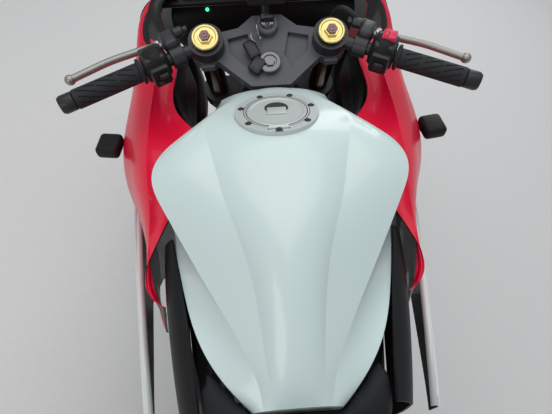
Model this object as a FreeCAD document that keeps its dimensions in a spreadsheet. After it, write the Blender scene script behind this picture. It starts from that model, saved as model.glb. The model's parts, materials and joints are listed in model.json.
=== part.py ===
import FreeCAD, Part
import math
import os
import Sketcher
from types import SimpleNamespace
from FreeCAD import Placement, Rotation, Vector

# A full-size road sport bike with twin-spar frame, full fairing and clip-on bars, parked on its side stand.
# It is drawn upright, in the bike's own frame: +X forward, +Y to its left, +Z up, datum on the ground.
# At the end every piece is leaned over as it parks, and the origin goes under the middle of the bike.

doc = FreeCAD.newDocument("sport_bike")
sheet = doc.addObject("Spreadsheet::Sheet", "Sizes")

# Driving dimensions: name, millimetres or degrees, what it is.
SIZES = (
    ("wheelbase", 1437, "front axle to rear axle along the ground"),
    ("rake", 25, "steering axis from upright, degrees"),
    ("fork_offset", 37.5, "fork legs ahead of the steering axis"),
    ("lean", 11, "lean on the side stand, degrees"),
    ("front_tyre_r", 300, "front tyre outer radius"),
    ("front_tyre_half", 60, "half the front tyre's width"),
    ("front_crown_drop", 45, "front tread centre to its shoulder"),
    ("rear_tyre_r", 315, "rear tyre outer radius"),
    ("rear_tyre_half", 90, "half the rear tyre's width"),
    ("rear_crown_drop", 53, "rear tread centre to its shoulder"),
    ("bead_r", 214, "seat of a 17 inch rim"),
    ("front_rim_half", 50, "half the front rim's seat"),
    ("rear_rim_half", 72, "half the rear rim's seat"),
    ("rim_wall", 6, "rim wall thickness"),
    ("rim_well", 15, "depth of the rim's drop centre"),
    ("spoke_wide", 26, "spoke thickness across the wheel"),
    ("front_disc_y", 61.5, "front disc's inner face off the centre line"),
    ("rear_disc_y", 92, "rear disc's inner face off the centre line"),
    ("hub_r", 44, "hub radius"),
    ("spacer_r", 21, "wheel spacer radius"),
    ("axle_r", 12.5, "wheel axle outer radius"),
    ("axle_bore_r", 8.5, "hollow axles' bore radius"),
    ("axle_end", 12, "axle beyond what it clamps"),
    ("turning_gap", 0.3, "clearance where one piece turns on another"),
    ("seat_gap", 0.3, "gap left between pieces that seat on each other"),
    ("front_disc_r", 148, "front brake disc radius"),
    ("rear_disc_r", 120, "rear brake disc radius"),
    ("disc_wall", 4.5, "brake disc thickness"),
    ("pad_gap", 5, "caliper slot clear of its disc"),
    ("fork_half", 107, "fork leg off the centre line"),
    ("stanchion_r", 20.5, "fork tube radius"),
    ("slider_r", 27, "fork slider radius"),
    ("slider_top", 372, "top of the slider above the axle, along the fork"),
    ("slider_foot", 28, "bottom of the slider below the axle"),
    ("lower_yoke_at", 500, "underside of the lower yoke above the axle"),
    ("lower_yoke_deep", 38, "lower yoke thickness"),
    ("top_yoke_at", 680, "underside of the top yoke above the axle"),
    ("top_yoke_deep", 22, "top yoke thickness"),
    ("yoke_hollow", 9, "depth of the top yoke's hollows"),
    ("clamp_deep", 26, "height of a handlebar clamp on the fork tube"),
    ("fork_top", 733, "top of the fork tubes above the axle"),
    ("stem_r", 16, "steering stem radius"),
    ("head_tube_r", 38, "head tube outer radius"),
    ("bar_r", 11, "handlebar tube radius"),
    ("bar_long", 237, "handlebar from its clamp's middle to its weight"),
    ("bar_sweep", 24.4, "handlebar swept back, degrees"),
    ("bar_droop", 5.3, "handlebar drooped, degrees"),
    ("grip_r", 16.5, "grip radius"),
    ("grip_long", 118, "grip length"),
    ("bar_weight_long", 25, "bar end weight length"),
    ("panel_wall", 4, "moulded fairing panel thickness"),
    ("screen_wall", 3, "windscreen thickness"),
    ("ring_r", 59, "filler ring outer radius"),
    ("lid_r", 43, "filler lid radius"),
    ("lid_gap", 1, "filler lid clear of its ring"),
    ("neck_r", 22, "filler neck bore radius"),
    ("filler_x", 213, "filler centre ahead of the datum"),
    ("filler_z", 979, "filler ring's top above the ground"),
    ("filler_tilt", 17, "filler tipped forward, degrees"),
    ("swing_pivot_x", -185, "swingarm pivot ahead of the datum"),
    ("swing_pivot_z", 400, "swingarm pivot above the ground"),
    ("plate_inner", 128, "inside of the frame's pivot plates off the centre line"),
    ("plate_wide", 28, "pivot plate thickness"),
    ("arm_inner", 122, "inside of a swingarm leg off the centre line"),
    ("arm_wide", 34, "swingarm leg thickness"),
    ("chain_y", 108, "chain line off the centre line"),
    ("chain_wide", 15, "chain width over its plates"),
    ("chain_deep", 15, "chain plate height"),
    ("front_sprocket_x", -120, "gearbox sprocket ahead of the datum"),
    ("front_sprocket_z", 400, "gearbox sprocket above the ground"),
    ("front_sprocket_r", 38, "gearbox sprocket pitch radius"),
    ("rear_sprocket_r", 104, "rear sprocket pitch radius"),
    ("sprocket_wide", 7, "sprocket thickness"),
    ("stand_pivot_x", -40, "side stand pivot ahead of the datum"),
    ("stand_pivot_y", 170, "side stand pivot off the centre line"),
    ("stand_pivot_z", 290, "side stand pivot above the ground"),
    ("stand_foot_x", -8, "side stand foot ahead of the datum"),
    ("stand_foot_y", 262, "side stand foot off the bike's centre plane"),
    ("stand_r", 11, "side stand leg radius"),
)
for row, (alias, value, note) in enumerate(SIZES, start=1):
    sheet.set(f"A{row}", alias)
    sheet.set(f"B{row}", str(value))
    sheet.setAlias(f"B{row}", alias)
    sheet.set(f"C{row}", note)
doc.recompute()


class Size:
    """A driving dimension, or a sum of them, with its number and its spreadsheet formula."""

    def __init__(self, value, text):
        self.value = float(value)
        self.text = text

    def __float__(self):
        return self.value

    def joined(self, other, sign, value):
        return Size(value, f"({self.text} {sign} {formula(other)})")

    def __add__(self, other):
        return self.joined(other, "+", self.value + float(other))

    def __sub__(self, other):
        return self.joined(other, "-", self.value - float(other))

    def __mul__(self, other):
        return self.joined(other, "*", self.value * float(other))

    def __truediv__(self, other):
        return self.joined(other, "/", self.value / float(other))

    def __radd__(self, other):
        return Size(other, repr(float(other))) + self

    def __rsub__(self, other):
        return Size(other, repr(float(other))) - self

    def __rmul__(self, other):
        return Size(other, repr(float(other))) * self

    def __neg__(self):
        return Size(-self.value, f"(0 - {self.text})")


def formula(value):
    return value.text if isinstance(value, Size) else repr(float(value))


s = SimpleNamespace(**{alias: Size(sheet.get(alias), f"Sizes.{alias}") for alias, _, _ in SIZES})


def bind(obj, prop, value):
    """Ties a property to the spreadsheet, or sets it where the value is a bare number."""
    if isinstance(value, Size):
        obj.setExpression(prop, value.text)
    else:
        setattr(obj, prop, float(value))


# Document helpers: primitives, booleans and sketched bodies.
UP = Vector(0, 0, 1)
TO_LEFT = Rotation(Vector(1, 0, 0), -90)  # carries a primitive's +Z onto +Y
TO_FRONT = Rotation(Vector(0, 1, 0), 90)  # carries a primitive's +Z onto +X
PARTS = {}


def point(x, y, z):
    return Vector(float(x), float(y), float(z))


def place(x, y, z, rotation=None):
    return Placement(point(x, y, z), rotation or Rotation())


def cylinder(name, radius, height, where=None):
    obj = doc.addObject("Part::Cylinder", name)
    bind(obj, "Radius", radius)
    bind(obj, "Height", height)
    obj.Placement = where or Placement()
    return obj


def cone(name, radius_1, radius_2, height, where=None):
    obj = doc.addObject("Part::Cone", name)
    bind(obj, "Radius1", radius_1)
    bind(obj, "Radius2", radius_2)
    bind(obj, "Height", height)
    obj.Placement = where or Placement()
    return obj


def box(name, length, width, height, where=None):
    """A block that starts at its lowest corner."""
    obj = doc.addObject("Part::Box", name)
    bind(obj, "Length", length)
    bind(obj, "Width", width)
    bind(obj, "Height", height)
    obj.Placement = where or Placement()
    return obj


def sphere(name, radius, where=None):
    obj = doc.addObject("Part::Sphere", name)
    bind(obj, "Radius", radius)
    obj.Placement = where or Placement()
    return obj


def fuse(name, pieces):
    obj = doc.addObject("Part::MultiFuse", name)
    obj.Shapes = pieces
    obj.Refine = False
    return obj


def cut(name, base, tool):
    obj = doc.addObject("Part::Cut", name)
    obj.Base = base
    obj.Tool = tool
    obj.Refine = False
    return obj


def compound(name, pieces):
    obj = doc.addObject("Part::Compound", name)
    obj.Links = pieces
    return obj


def mirrored(name, source):
    """The same piece on the bike's other side."""
    obj = doc.addObject("Part::Mirroring", name)
    obj.Source = source
    obj.Normal = Vector(0, 1, 0)
    return obj


def both_sides(name, left):
    return compound(name, [left, mirrored(name + "_right", left)])


def free_form(name, shape):
    obj = doc.addObject("Part::Feature", name)
    obj.Shape = shape
    return obj


def origin_plane(body, role):
    return next(f for f in body.Origin.OriginFeatures if f.Role == role)


def sketch(body, name, role, outline=(), circles=(), arcs=()):
    """A sketch on an origin plane: a closed outline of (u, v) corners and circles of (u, v, radius).
    arcs maps a side's number to (u, v, radius): that side bulges through the point, at that radius."""
    made = body.newObject("Sketcher::SketchObject", name)
    made.AttachmentSupport = [(origin_plane(body, role), "")]
    made.MapMode = "FlatFace"
    arcs = dict(arcs)

    def hold(geometry, end, u, v):
        for kind, value, axis in (("DistanceX", u, -2), ("DistanceY", v, -1)):
            if abs(float(value)) < 1e-9:
                made.addConstraint(Sketcher.Constraint("PointOnObject", geometry, end, axis))
                continue
            index = made.addConstraint(
                Sketcher.Constraint(kind, -1, 1, geometry, end, float(value))
            )
            if isinstance(value, Size):
                made.setExpression(f"Constraints[{index}]", value.text)

    count = len(outline)
    corners = [Vector(float(u), float(v), 0) for u, v in outline]
    for i, corner in enumerate(corners):
        after = corners[(i + 1) % count]
        if i in arcs:
            through = Vector(float(arcs[i][0]), float(arcs[i][1]), 0)
            arc = Part.Arc(corner, through, after)
            side = made.addGeometry(arc.toShape().Curve.trim(*arc.toShape().ParameterRange), False)
        else:
            side = made.addGeometry(Part.LineSegment(corner, after), False)
    for i, (u, v) in enumerate(outline):
        if i in arcs:
            continue
        hold(i, 1, u, v)
    for i in range(count):
        after = (i + 1) % count
        start_end = 1 if after not in arcs else arc_end(made, after, corners[after])
        own_end = 2 if i not in arcs else arc_end(made, i, corners[after])
        made.addConstraint(Sketcher.Constraint("Coincident", i, own_end, after, start_end))
    for i in arcs:
        hold(i, arc_end(made, i, corners[i]), *outline[i])
        index = made.addConstraint(Sketcher.Constraint("Radius", i, float(arcs[i][2])))
        if isinstance(arcs[i][2], Size):
            made.setExpression(f"Constraints[{index}]", arcs[i][2].text)
    for u, v, radius in circles:
        round_one = made.addGeometry(
            Part.Circle(Vector(float(u), float(v), 0), UP, float(radius)), False
        )
        hold(round_one, 3, u, v)
        index = made.addConstraint(Sketcher.Constraint("Radius", round_one, float(radius)))
        if isinstance(radius, Size):
            made.setExpression(f"Constraints[{index}]", radius.text)
    return made


def arc_end(made, side, corner):
    """Which end of an arc in a sketch lies on the corner."""
    return 1 if (made.getPoint(side, 1) - corner).Length < 1e-4 else 2


def new_body(name):
    return doc.addObject("PartDesign::Body", name)


def pad(body, profile, length, middle=True, reverse=False):
    feature = body.newObject("PartDesign::Pad", profile.Name + "_pad")
    feature.Profile = profile
    bind(feature, "Length", length)
    feature.Midplane = middle
    feature.Reversed = reverse
    return feature


def pocket(body, profile, length, middle=False, reverse=False):
    feature = body.newObject("PartDesign::Pocket", profile.Name + "_pocket")
    feature.Profile = profile
    bind(feature, "Length", length)
    feature.Midplane = middle
    feature.Reversed = reverse
    return feature


def revolve(body, profile, axis="V_Axis", angle=360):
    feature = body.newObject("PartDesign::Revolution", profile.Name + "_turn")
    feature.Profile = profile
    feature.ReferenceAxis = (profile, [axis])
    feature.Angle = angle
    return feature


def pattern(body, feature, profile, count, angle=360):
    made = body.newObject("PartDesign::PolarPattern", feature.Name + "_pattern")
    made.Originals = [feature]
    made.Axis = (profile, ["N_Axis"])
    made.Angle = angle
    made.Occurrences = count
    body.Tip = made
    return made


def part(label, obj, frame=None):
    """Hands a finished piece over under its own label, in the bike's frame or the one given."""
    obj.Label = label
    obj.Placement = (frame or Placement()).multiply(obj.Placement)
    PARTS[label] = obj
    return obj


# Free-form helpers: skins of arcs, and tubes of straight runs and arcs.
def arc_or_line(a, b, c):
    bend = (b - a).cross(c - b).Length
    if bend < 1e-3 * max((c - a).Length, 1) ** 2:
        return Part.LineSegment(a, c).toShape()
    return Part.Arc(a, b, c).toShape()


def offset_line(points, wall):
    """The open line moved a wall's thickness to its right, mitred at its corners."""
    normals = []
    for (y0, z0), (y1, z1) in zip(points, points[1:]):
        length = math.hypot(y1 - y0, z1 - z0)
        normals.append(((z1 - z0) / length, -(y1 - y0) / length))
    ends = [normals[0], *normals, normals[-1]]
    moved = []
    for i, (y, z) in enumerate(points):
        ny, nz = ends[i][0] + ends[i + 1][0], ends[i][1] + ends[i + 1][1]
        size = ny * ny + nz * nz
        reach = min(2 * wall / size, 0.8 * wall)
        moved.append((y + ny * reach, z + nz * reach))
    return moved


def skin_section(x, points, wall):
    """A closed thin section at station x: arcs through each three points outside, and the same a wall inside."""
    outside = [Vector(x, y, z) for y, z in points]
    inside = [Vector(x, y, z) for y, z in offset_line(points, wall)]
    edges = [arc_or_line(*outside[i : i + 3]) for i in range(0, len(outside) - 2, 2)]
    edges.append(Part.LineSegment(outside[-1], inside[-1]).toShape())
    back = inside[::-1]
    edges += [arc_or_line(*back[i : i + 3]) for i in range(0, len(back) - 2, 2)]
    edges.append(Part.LineSegment(inside[0], outside[0]).toShape())
    return Part.Wire(edges)


def skin(table, wall, mirror_over=False):
    """A thin panel through stations of x and an odd run of (y, z) points, top edge first."""
    sections = []
    for x, *points in table:
        if mirror_over:
            points = points + [(-y, z) for y, z in points[-2::-1]]
        sections.append(skin_section(x, points, wall))
    return Part.makeLoft(sections, True, False)


def solid_through(table):
    """A solid lofted through closed half sections that are mirrored: each an odd run of (y, z), top centre first."""
    sections = []
    for x, *points in table:
        left = [Vector(x, y, z) for y, z in points]
        right = [Vector(x, -y, z) for y, z in points]
        edges = [Part.Arc(right[1], right[0], left[1]).toShape()]
        edges += [arc_or_line(*left[i : i + 3]) for i in range(1, len(left) - 2, 2)]
        edges.append(Part.LineSegment(left[-1], right[-1]).toShape())
        back = right[:0:-1]
        edges += [arc_or_line(*back[i : i + 3]) for i in range(0, len(back) - 2, 2)]
        sections.append(Part.Wire(edges))
    return Part.makeLoft(sections, True, False)


def route(points, share=0.45):
    """A path of straight runs joined by tangent arcs, each as large as its two runs allow."""
    points = [point(*p) for p in points]
    edges, here = [], points[0]
    for before, corner, after in zip(points, points[1:], points[2:]):
        into = (corner - before).normalize()
        out = (after - corner).normalize()
        turn = into.getAngle(out)
        reach = share * min((corner - before).Length, (after - corner).Length)
        start, stop = corner - into * reach, corner + out * reach
        radius = reach / math.tan(turn / 2)
        inward = (out - into).normalize()
        middle = corner + inward * (radius / math.cos(turn / 2) - radius)
        edges.append(Part.LineSegment(here, start).toShape())
        edges.append(Part.Arc(start, middle, stop).toShape())
        here = stop
    edges.append(Part.LineSegment(here, points[-1]).toShape())
    return Part.Wire(edges)


def tube(points, radius, share=0.45):
    path = route(points, share)
    start = point(*points[0])
    heading = (point(*points[1]) - start).normalize()
    ring = Part.Wire(Part.makeCircle(float(radius), start, heading))
    return path.makePipeShell([ring], True, False)


def pod(rows, share=0.85):
    """A rounded housing lofted through rounded rectangles: each row is x, middle y, middle z, half width, half height."""
    sections = []
    for x, y, z, wide, high in rows:
        round_off = share * min(wide, high)
        ring = []
        for quarter, (side, rise) in enumerate(((1, 1), (-1, 1), (-1, -1), (1, -1))):
            corner = Vector(x, y + side * (wide - round_off), z + rise * (high - round_off))
            for turn in (0, 45, 90):
                way = math.radians(quarter * 90 + turn)
                ring.append(corner + Vector(0, math.cos(way), math.sin(way)) * round_off)
        edges = []
        for start in range(0, 12, 3):
            edges.append(Part.Arc(*ring[start : start + 3]).toShape())
            edges.append(Part.LineSegment(ring[start + 2], ring[(start + 3) % 12]).toShape())
        sections.append(Part.Wire(edges))
    return Part.makeLoft(sections, True, False)


def flip(shape):
    return shape.mirror(Vector(0, 0, 0), Vector(0, 1, 0))


def block(x0, x1, y0, y1, z0, z1):
    return Part.makeBox(x1 - x0, y1 - y0, z1 - z0, Vector(x0, y0, z0))


# The bike's own places, worked out from the sizes.
RAKE = math.radians(float(s.rake))
FRONT_AXLE = point(s.wheelbase / 2, 0, s.front_tyre_r)
REAR_AXLE = point(s.wheelbase / -2, 0, s.rear_tyre_r)
FORK = Placement(FRONT_AXLE, Rotation(Vector(0, 1, 0), -float(s.rake)))  # +Z up the legs
FRONT_WHEEL = Placement(FRONT_AXLE, Rotation())
REAR_WHEEL = Placement(REAR_AXLE, Rotation())
STEM = place(-float(s.fork_offset), 0, 0)


# Wheels: revolved tyres and rims, five forked spokes, drilled discs.
def tyre(name, radius, half, drop, rim_half, frame):
    """A road tyre: one crowned tread arc, curved walls, and beads on the rim's seat."""
    body = new_body(name)
    crown = (half * half + drop * drop) / (drop * 2)
    shoulder = radius - drop
    bead = s.bead_r + s.seat_gap
    rows = [
        (bead, rim_half - s.seat_gap),
        (s.bead_r + 10.4, rim_half - s.seat_gap),
        (s.bead_r + 15, rim_half + 3),
        (shoulder - 16, half - 1.5),
        (shoulder, half),
    ]
    outline = rows + [(u, -v) for u, v in reversed(rows)]
    profile = sketch(body, name + "_section", "XY_Plane", outline, arcs={len(rows) - 1: (radius, 0, crown)})
    revolve(body, profile)
    return part(name, body, frame)


def rim(name, half, left_hub, right_hub, frame):
    """A cast rim: flanged channel with a drop centre, hub with spacers, and five forked spokes."""
    body = new_body(name)
    flange, seat, wall = s.bead_r + 10, s.bead_r, s.rim_wall
    well = seat - s.rim_well
    side = [
        (flange, half + wall),
        (flange, half),
        (seat, half),
        (seat, half - 16),
        (well, half - 28),
    ]
    back = [(well - wall, half - 26), (seat - wall, half - 13), (seat - wall, half + wall)]
    outline = side + [(u, -v) for u, v in reversed(side)]
    outline += [(u, -v) for u, v in reversed(back)] + back
    revolve(body, sketch(body, name + "_channel", "XY_Plane", outline))
    bore = s.axle_r + s.turning_gap
    hub = [(bore, left_hub[1]), (s.spacer_r, left_hub[1]), (s.spacer_r, left_hub[0]), (s.hub_r, left_hub[0])]
    hub += [(s.hub_r, -right_hub[0]), (s.spacer_r, -right_hub[0]), (s.spacer_r, -right_hub[1]), (bore, -right_hub[1])]
    revolve(body, sketch(body, name + "_hub", "XY_Plane", hub))
    fork_r, arm, root = 118, well - 3, s.hub_r - 4
    spoke = [(root, -17), (fork_r - 18, -13), (arm - 9, -62), (arm - 3, -42), (fork_r + 8, 0)]
    spoke += [(u, -v) for u, v in spoke[3::-1]]
    profile = sketch(body, name + "_spoke", "XZ_Plane", spoke)
    pattern(body, pad(body, profile, s.spoke_wide), profile, 5)
    return part(name, body, frame)


def disc(name, radius, inner, wall, windows=5):
    """A brake disc with its carrier: a flat ring, windowed towards the hub."""
    body = new_body(name)
    profile = sketch(body, name + "_ring", "XZ_Plane", circles=[(0, 0, radius), (0, 0, inner)])
    pad(body, profile, wall)
    hole = [(radius * 0.42, -15), (radius * 0.68, -34), (radius * 0.68, 34), (radius * 0.42, 15)]
    window = sketch(body, name + "_window", "XZ_Plane", hole)
    pattern(body, pocket(body, window, wall * 3, middle=True), window, windows)
    return body


slider_inner = s.fork_half - s.slider_r
front_hub = (s.front_disc_y - s.seat_gap, slider_inner - 1)
tyre("front_tyre", s.front_tyre_r, s.front_tyre_half, s.front_crown_drop, s.front_rim_half, FRONT_WHEEL)
rim("front_rim", s.front_rim_half, front_hub, front_hub, FRONT_WHEEL)
disc_middle = s.disc_wall / 2
left_disc = disc("left_disc", s.front_disc_r, s.spacer_r + s.seat_gap, s.disc_wall)
left_disc.Placement = place(0, s.front_disc_y + disc_middle, 0)
part("front_discs", both_sides("front_discs_pair", left_disc), FRONT_WHEEL)

sprocket_face = s.chain_y - s.sprocket_wide / 2
arm_face = s.arm_inner - 1
tyre("rear_tyre", s.rear_tyre_r, s.rear_tyre_half, s.rear_crown_drop, s.rear_rim_half, REAR_WHEEL)
rim(
    "rear_rim",
    s.rear_rim_half,
    (sprocket_face - s.seat_gap, arm_face),
    (s.rear_disc_y - s.seat_gap, arm_face),
    REAR_WHEEL,
)
rear_disc = disc("rear_disc_ring", s.rear_disc_r, s.spacer_r + s.seat_gap, s.disc_wall)
rear_disc.Placement = place(0, -float(s.rear_disc_y + disc_middle), 0)
part("rear_disc", rear_disc, REAR_WHEEL)
sprocket = disc("rear_sprocket_ring", s.rear_sprocket_r - s.chain_deep / 2 - 1, s.spacer_r + s.seat_gap, s.sprocket_wide)
sprocket.Placement = place(0, s.chain_y, 0)
part("rear_sprocket", sprocket, REAR_WHEEL)


# Fork and steering, drawn in the fork's frame: origin on the axle, +Z up the legs.
def on_leg(z):
    return place(0, s.fork_half, z)


slider = cut(
    "slider_bored",
    fuse(
        "slider_cast",
        [
            cylinder("slider_leg", s.slider_r, s.slider_top + s.slider_foot, on_leg(-s.slider_foot)),
            cylinder("slider_seal", s.slider_r + 4, 22, on_leg(s.slider_top - 22)),
        ],
    ),
    cylinder("slider_bore", s.axle_r + s.seat_gap, 100, place(0, s.fork_half - 50, 0, TO_LEFT)),
)
part("fork_sliders", both_sides("sliders", slider), FORK)

tube_base = s.slider_top + s.seat_gap
leg = fuse(
    "fork_leg",
    [
        cylinder("stanchion", s.stanchion_r, s.fork_top - tube_base, on_leg(tube_base)),
        cylinder("cap_rim", s.stanchion_r + 2.5, 5, on_leg(s.fork_top)),
        cylinder("cap_adjuster", 9, 11, on_leg(s.fork_top)),
    ],
)
part("fork_tubes", both_sides("legs", leg), FORK)

axle_long = (s.fork_half + s.slider_r + s.axle_end) * 2
axle = cut(
    "front_axle_bored",
    cylinder("front_axle_bar", s.axle_r, axle_long, place(0, axle_long / -2, 0, TO_LEFT)),
    cylinder("front_axle_hole", s.axle_bore_r, axle_long + 2, place(0, axle_long / -2 - 1, 0, TO_LEFT)),
)
part("front_axle", axle, FORK)


def yoke(name, base, deep, outline, extra=(), hollows=()):
    """A fork yoke: a plate across both legs with a bored clamp at each end."""
    body = new_body(name + "_plate")
    pad(body, sketch(body, name + "_outline", "XY_Plane", outline), deep, middle=False)
    for number, hollow in enumerate(hollows):
        floor = deep - s.yoke_hollow
        drawn = sketch(body, f"{name}_hollow_{number}", "XY_Plane", hollow)
        drawn.AttachmentOffset = place(0, 0, floor)
        pocket(body, drawn, s.yoke_hollow * 2, reverse=True)
    body.Placement = place(0, 0, base)
    solids = [body]
    bores = []
    for side in (1, -1):
        where = place(0, side * s.fork_half, base)
        solids.append(cylinder(f"{name}_clamp_{side + 1}", s.stanchion_r + 11, deep, where))
        bores.append(cylinder(f"{name}_bore_{side + 1}", s.stanchion_r + s.seat_gap, deep * 3, where * place(0, 0, -float(deep))))
    return cut(name + "_bored", fuse(name + "_solid", solids + list(extra)), compound(name + "_bores", bores))


def both(rows):
    return rows + [(u, -v) for u, v in reversed(rows)]


TOP_OUTLINE = [(56, 26), (34, 52), (26, 92), (-20, 98), (-48, 66), (-76, 34)]
TOP_HOLLOW = [(22, 36), (14, 72), (-14, 68), (-44, 38), (-20, 26)]
LOWER_OUTLINE = [(26, 40), (26, 96), (-22, 100), (-66, 44)]
stem_top = s.top_yoke_at + s.top_yoke_deep + 9
ignition_at = (32, 0)
part(
    "top_yoke",
    yoke(
        "top_yoke",
        s.top_yoke_at,
        s.top_yoke_deep,
        both(TOP_OUTLINE),
        [cylinder("stem_nut", s.stem_r + 3, stem_top - s.top_yoke_at, STEM * place(0, 0, s.top_yoke_at))],
        (TOP_HOLLOW, [(u, -v) for u, v in TOP_HOLLOW]),
    ),
    FORK,
)
part(
    "lower_yoke",
    yoke(
        "lower_yoke",
        s.lower_yoke_at,
        s.lower_yoke_deep,
        both(LOWER_OUTLINE),
        [cylinder("stem", s.stem_r, s.top_yoke_at - s.lower_yoke_at - s.seat_gap, STEM * place(0, 0, s.lower_yoke_at))],
    ),
    FORK,
)
switch_base = s.top_yoke_at + s.top_yoke_deep + s.seat_gap
ignition = fuse(
    "ignition",
    [
        cylinder("ignition_barrel", 19, 14, place(*ignition_at, switch_base)),
        box("key_head", 4, 22, 20, place(ignition_at[0] - 2, -11, switch_base + 14)),
    ],
)
part("ignition_switch", ignition, FORK)

# Handlebars: each bar's frame starts at its clamp on the fork tube, with +Z out along the bar.
clamp_base = s.top_yoke_at + s.top_yoke_deep + s.seat_gap
clamp_middle = FORK.multVec(point(0, s.fork_half, clamp_base + s.clamp_deep / 2))
sweep, droop = math.radians(float(s.bar_sweep)), math.radians(float(s.bar_droop))
bar_way = Vector(-math.sin(sweep) * math.cos(droop), math.cos(sweep) * math.cos(droop), -math.sin(droop))
bar_ahead = Vector(math.cos(sweep), math.sin(sweep), 0)
bar_axes = Rotation(bar_ahead, Vector(), bar_way, "ZXY")
BAR = Placement(clamp_middle, bar_axes)  # +Z outboard along the bar, +X ahead of it
clamp = cylinder("clip_on_clamp", s.stanchion_r + 9.5, s.clamp_deep, FORK * on_leg(clamp_base))
bar = cylinder("bar_tube", s.bar_r, s.bar_long - s.stanchion_r, BAR * place(0, 0, s.stanchion_r))
clip_on = cut(
    "clip_on",
    fuse("clip_on_solid", [clamp, bar]),
    cylinder("clip_on_bore", s.stanchion_r + s.seat_gap, s.clamp_deep * 3, FORK * on_leg(clamp_base - s.clamp_deep)),
)
part("clip_ons", both_sides("clip_on_pair", clip_on))
grip_start = s.bar_long - s.grip_long
grip = cut(
    "grip_bored",
    fuse(
        "grip_solid",
        [
            cylinder("grip_tube", s.grip_r, s.grip_long, BAR * place(0, 0, grip_start)),
            cylinder("grip_flange", s.grip_r + 5, 5, BAR * place(0, 0, grip_start)),
        ],
    ),
    cylinder("grip_hole", s.bar_r + s.seat_gap, s.grip_long + 2, BAR * place(0, 0, grip_start - 1)),
)
weight = cylinder("bar_weight", s.grip_r - 1, s.bar_weight_long, BAR * place(0, 0, s.bar_long + s.seat_gap))
part("grips", both_sides("grip_pair", compound("grip_and_weight", [grip, weight])))

switch_at = grip_start - 46
SWITCH_POD = ((0, 0, 0, 19, 17), (7, -2, 0, 25, 22), (35, -2, 0, 25, 22), (43, 0, 0, 20, 17))
switch_shell = free_form("switch_shell", pod(SWITCH_POD))
along_bar = Rotation(Vector(0, 0, 1), Vector(0, 1, 0), Vector(-1, 0, 0), "XYZ")
switch_shell.Placement = BAR * Placement(point(0, 0, switch_at), along_bar)
switch_box = cut(
    "switch_bored",
    fuse(
        "switch_solid",
        [
            switch_shell,
            box("switch_face", 14, 30, 26, BAR * place(-34, -14, switch_at + 9)),
        ],
    ),
    cylinder("switch_hole", s.bar_r + s.seat_gap, 60, BAR * place(0, 0, switch_at - 5)),
)
part("switchgear", both_sides("switch_pair", switch_box))

lever_pivot_at = switch_at - 30
lever_ball = BAR.multVec(point(52, 0, s.bar_long - 4))
lever_knee = BAR.multVec(point(50, 0, 92))
lever_pivot = BAR.multVec(point(36, 0, lever_pivot_at + 14))
lever = tube([lever_pivot, lever_knee, BAR.multVec(point(58, 0, 160)), lever_ball], 6.5, 0.3)
lever_bits = [
    free_form("lever_blade", lever),
    sphere("lever_ball", 9, Placement(lever_ball, Rotation())),
    cylinder("lever_pivot", 11, 26, Placement(lever_pivot, bar_axes) * place(0, 0, 0, TO_LEFT) * place(0, 0, -13)),
]
part("levers", both_sides("lever_pair", fuse("lever", lever_bits)))
perch = cut(
    "perch_bored",
    fuse(
        "perch_solid",
        [
            cylinder("perch_clamp", s.bar_r + 7, 24, BAR * place(0, 0, lever_pivot_at)),
            box("perch_arm", 40, 16, 26, BAR * place(0, -29.3, lever_pivot_at + 1)),
        ],
    ),
    cylinder("perch_hole", s.bar_r + s.seat_gap, 40, BAR * place(0, 0, lever_pivot_at - 5)),
)
part("lever_brackets", both_sides("perch_pair", perch))

# Front mudguard: a thin arc over the tyre, on a bracket from each slider.
def crown_radius(half, drop):
    return (half * half + drop * drop) / (drop * 2)


guard_r = s.front_tyre_r + 14
guard_drop, guard_wall = 50, 3
guard_half = s.front_tyre_half + 13
guard_foot = guard_r - guard_drop
guard_rows = [
    (guard_foot, guard_half),
    (guard_foot, -guard_half),
    (guard_foot, -guard_half + guard_wall),
    (guard_foot, guard_half - guard_wall),
]
guard_arcs = {
    0: (guard_r, 0, crown_radius(guard_half, guard_drop)),
    2: (guard_r - guard_wall, 0, crown_radius(guard_half - guard_wall, guard_drop - guard_wall)),
}
guard_body = new_body("mudguard_shell")
revolve(guard_body, sketch(guard_body, "mudguard_section", "XY_Plane", guard_rows, arcs=guard_arcs), angle=134)
guard_body.Placement = FRONT_WHEEL * Placement(Vector(), Rotation(Vector(0, 1, 0), -172))
tab = box("mudguard_tab", 46, slider_inner - s.seat_gap - 66, 16, FORK * place(-23, 66, guard_foot + 3))
part("front_mudguard", fuse("front_mudguard_all", [guard_body, tab, mirrored("mudguard_tab_right", tab)]))

# Calipers: a bridge over each disc's rim, on a lug to what carries it.
def caliper_over(name, disc_r, disc_y, inner, outer, half_long, turn):
    """A caliper in its wheel's frame: it wraps the disc's rim, turned about the axle from straight ahead."""
    body = box(name + "_body", 72, outer - inner, half_long * 2, place(disc_r - 48, inner, -half_long))
    slot_wide = s.disc_wall + s.pad_gap * 2
    slot = cylinder(name + "_slot", disc_r + s.pad_gap, slot_wide, place(0, disc_y - s.pad_gap, 0, TO_LEFT))
    made = cut(name + "_slotted", body, slot)
    made.Placement = Placement(Vector(), Rotation(Vector(0, 1, 0), turn))
    return made


front_caliper = fuse(
    "front_caliper",
    [
        caliper_over("front_caliper", s.front_disc_r, s.front_disc_y, 34, 98, 54, 215),
        box("front_caliper_lug", 70, 22, 62, place(-92, 84, 40)),
    ],
)
leg_relief = cylinder("caliper_relief", s.slider_r + s.seat_gap, 300, on_leg(0))
part("front_calipers", both_sides("front_caliper_pair", cut("front_caliper_clear", front_caliper, leg_relief)), FORK)


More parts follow.
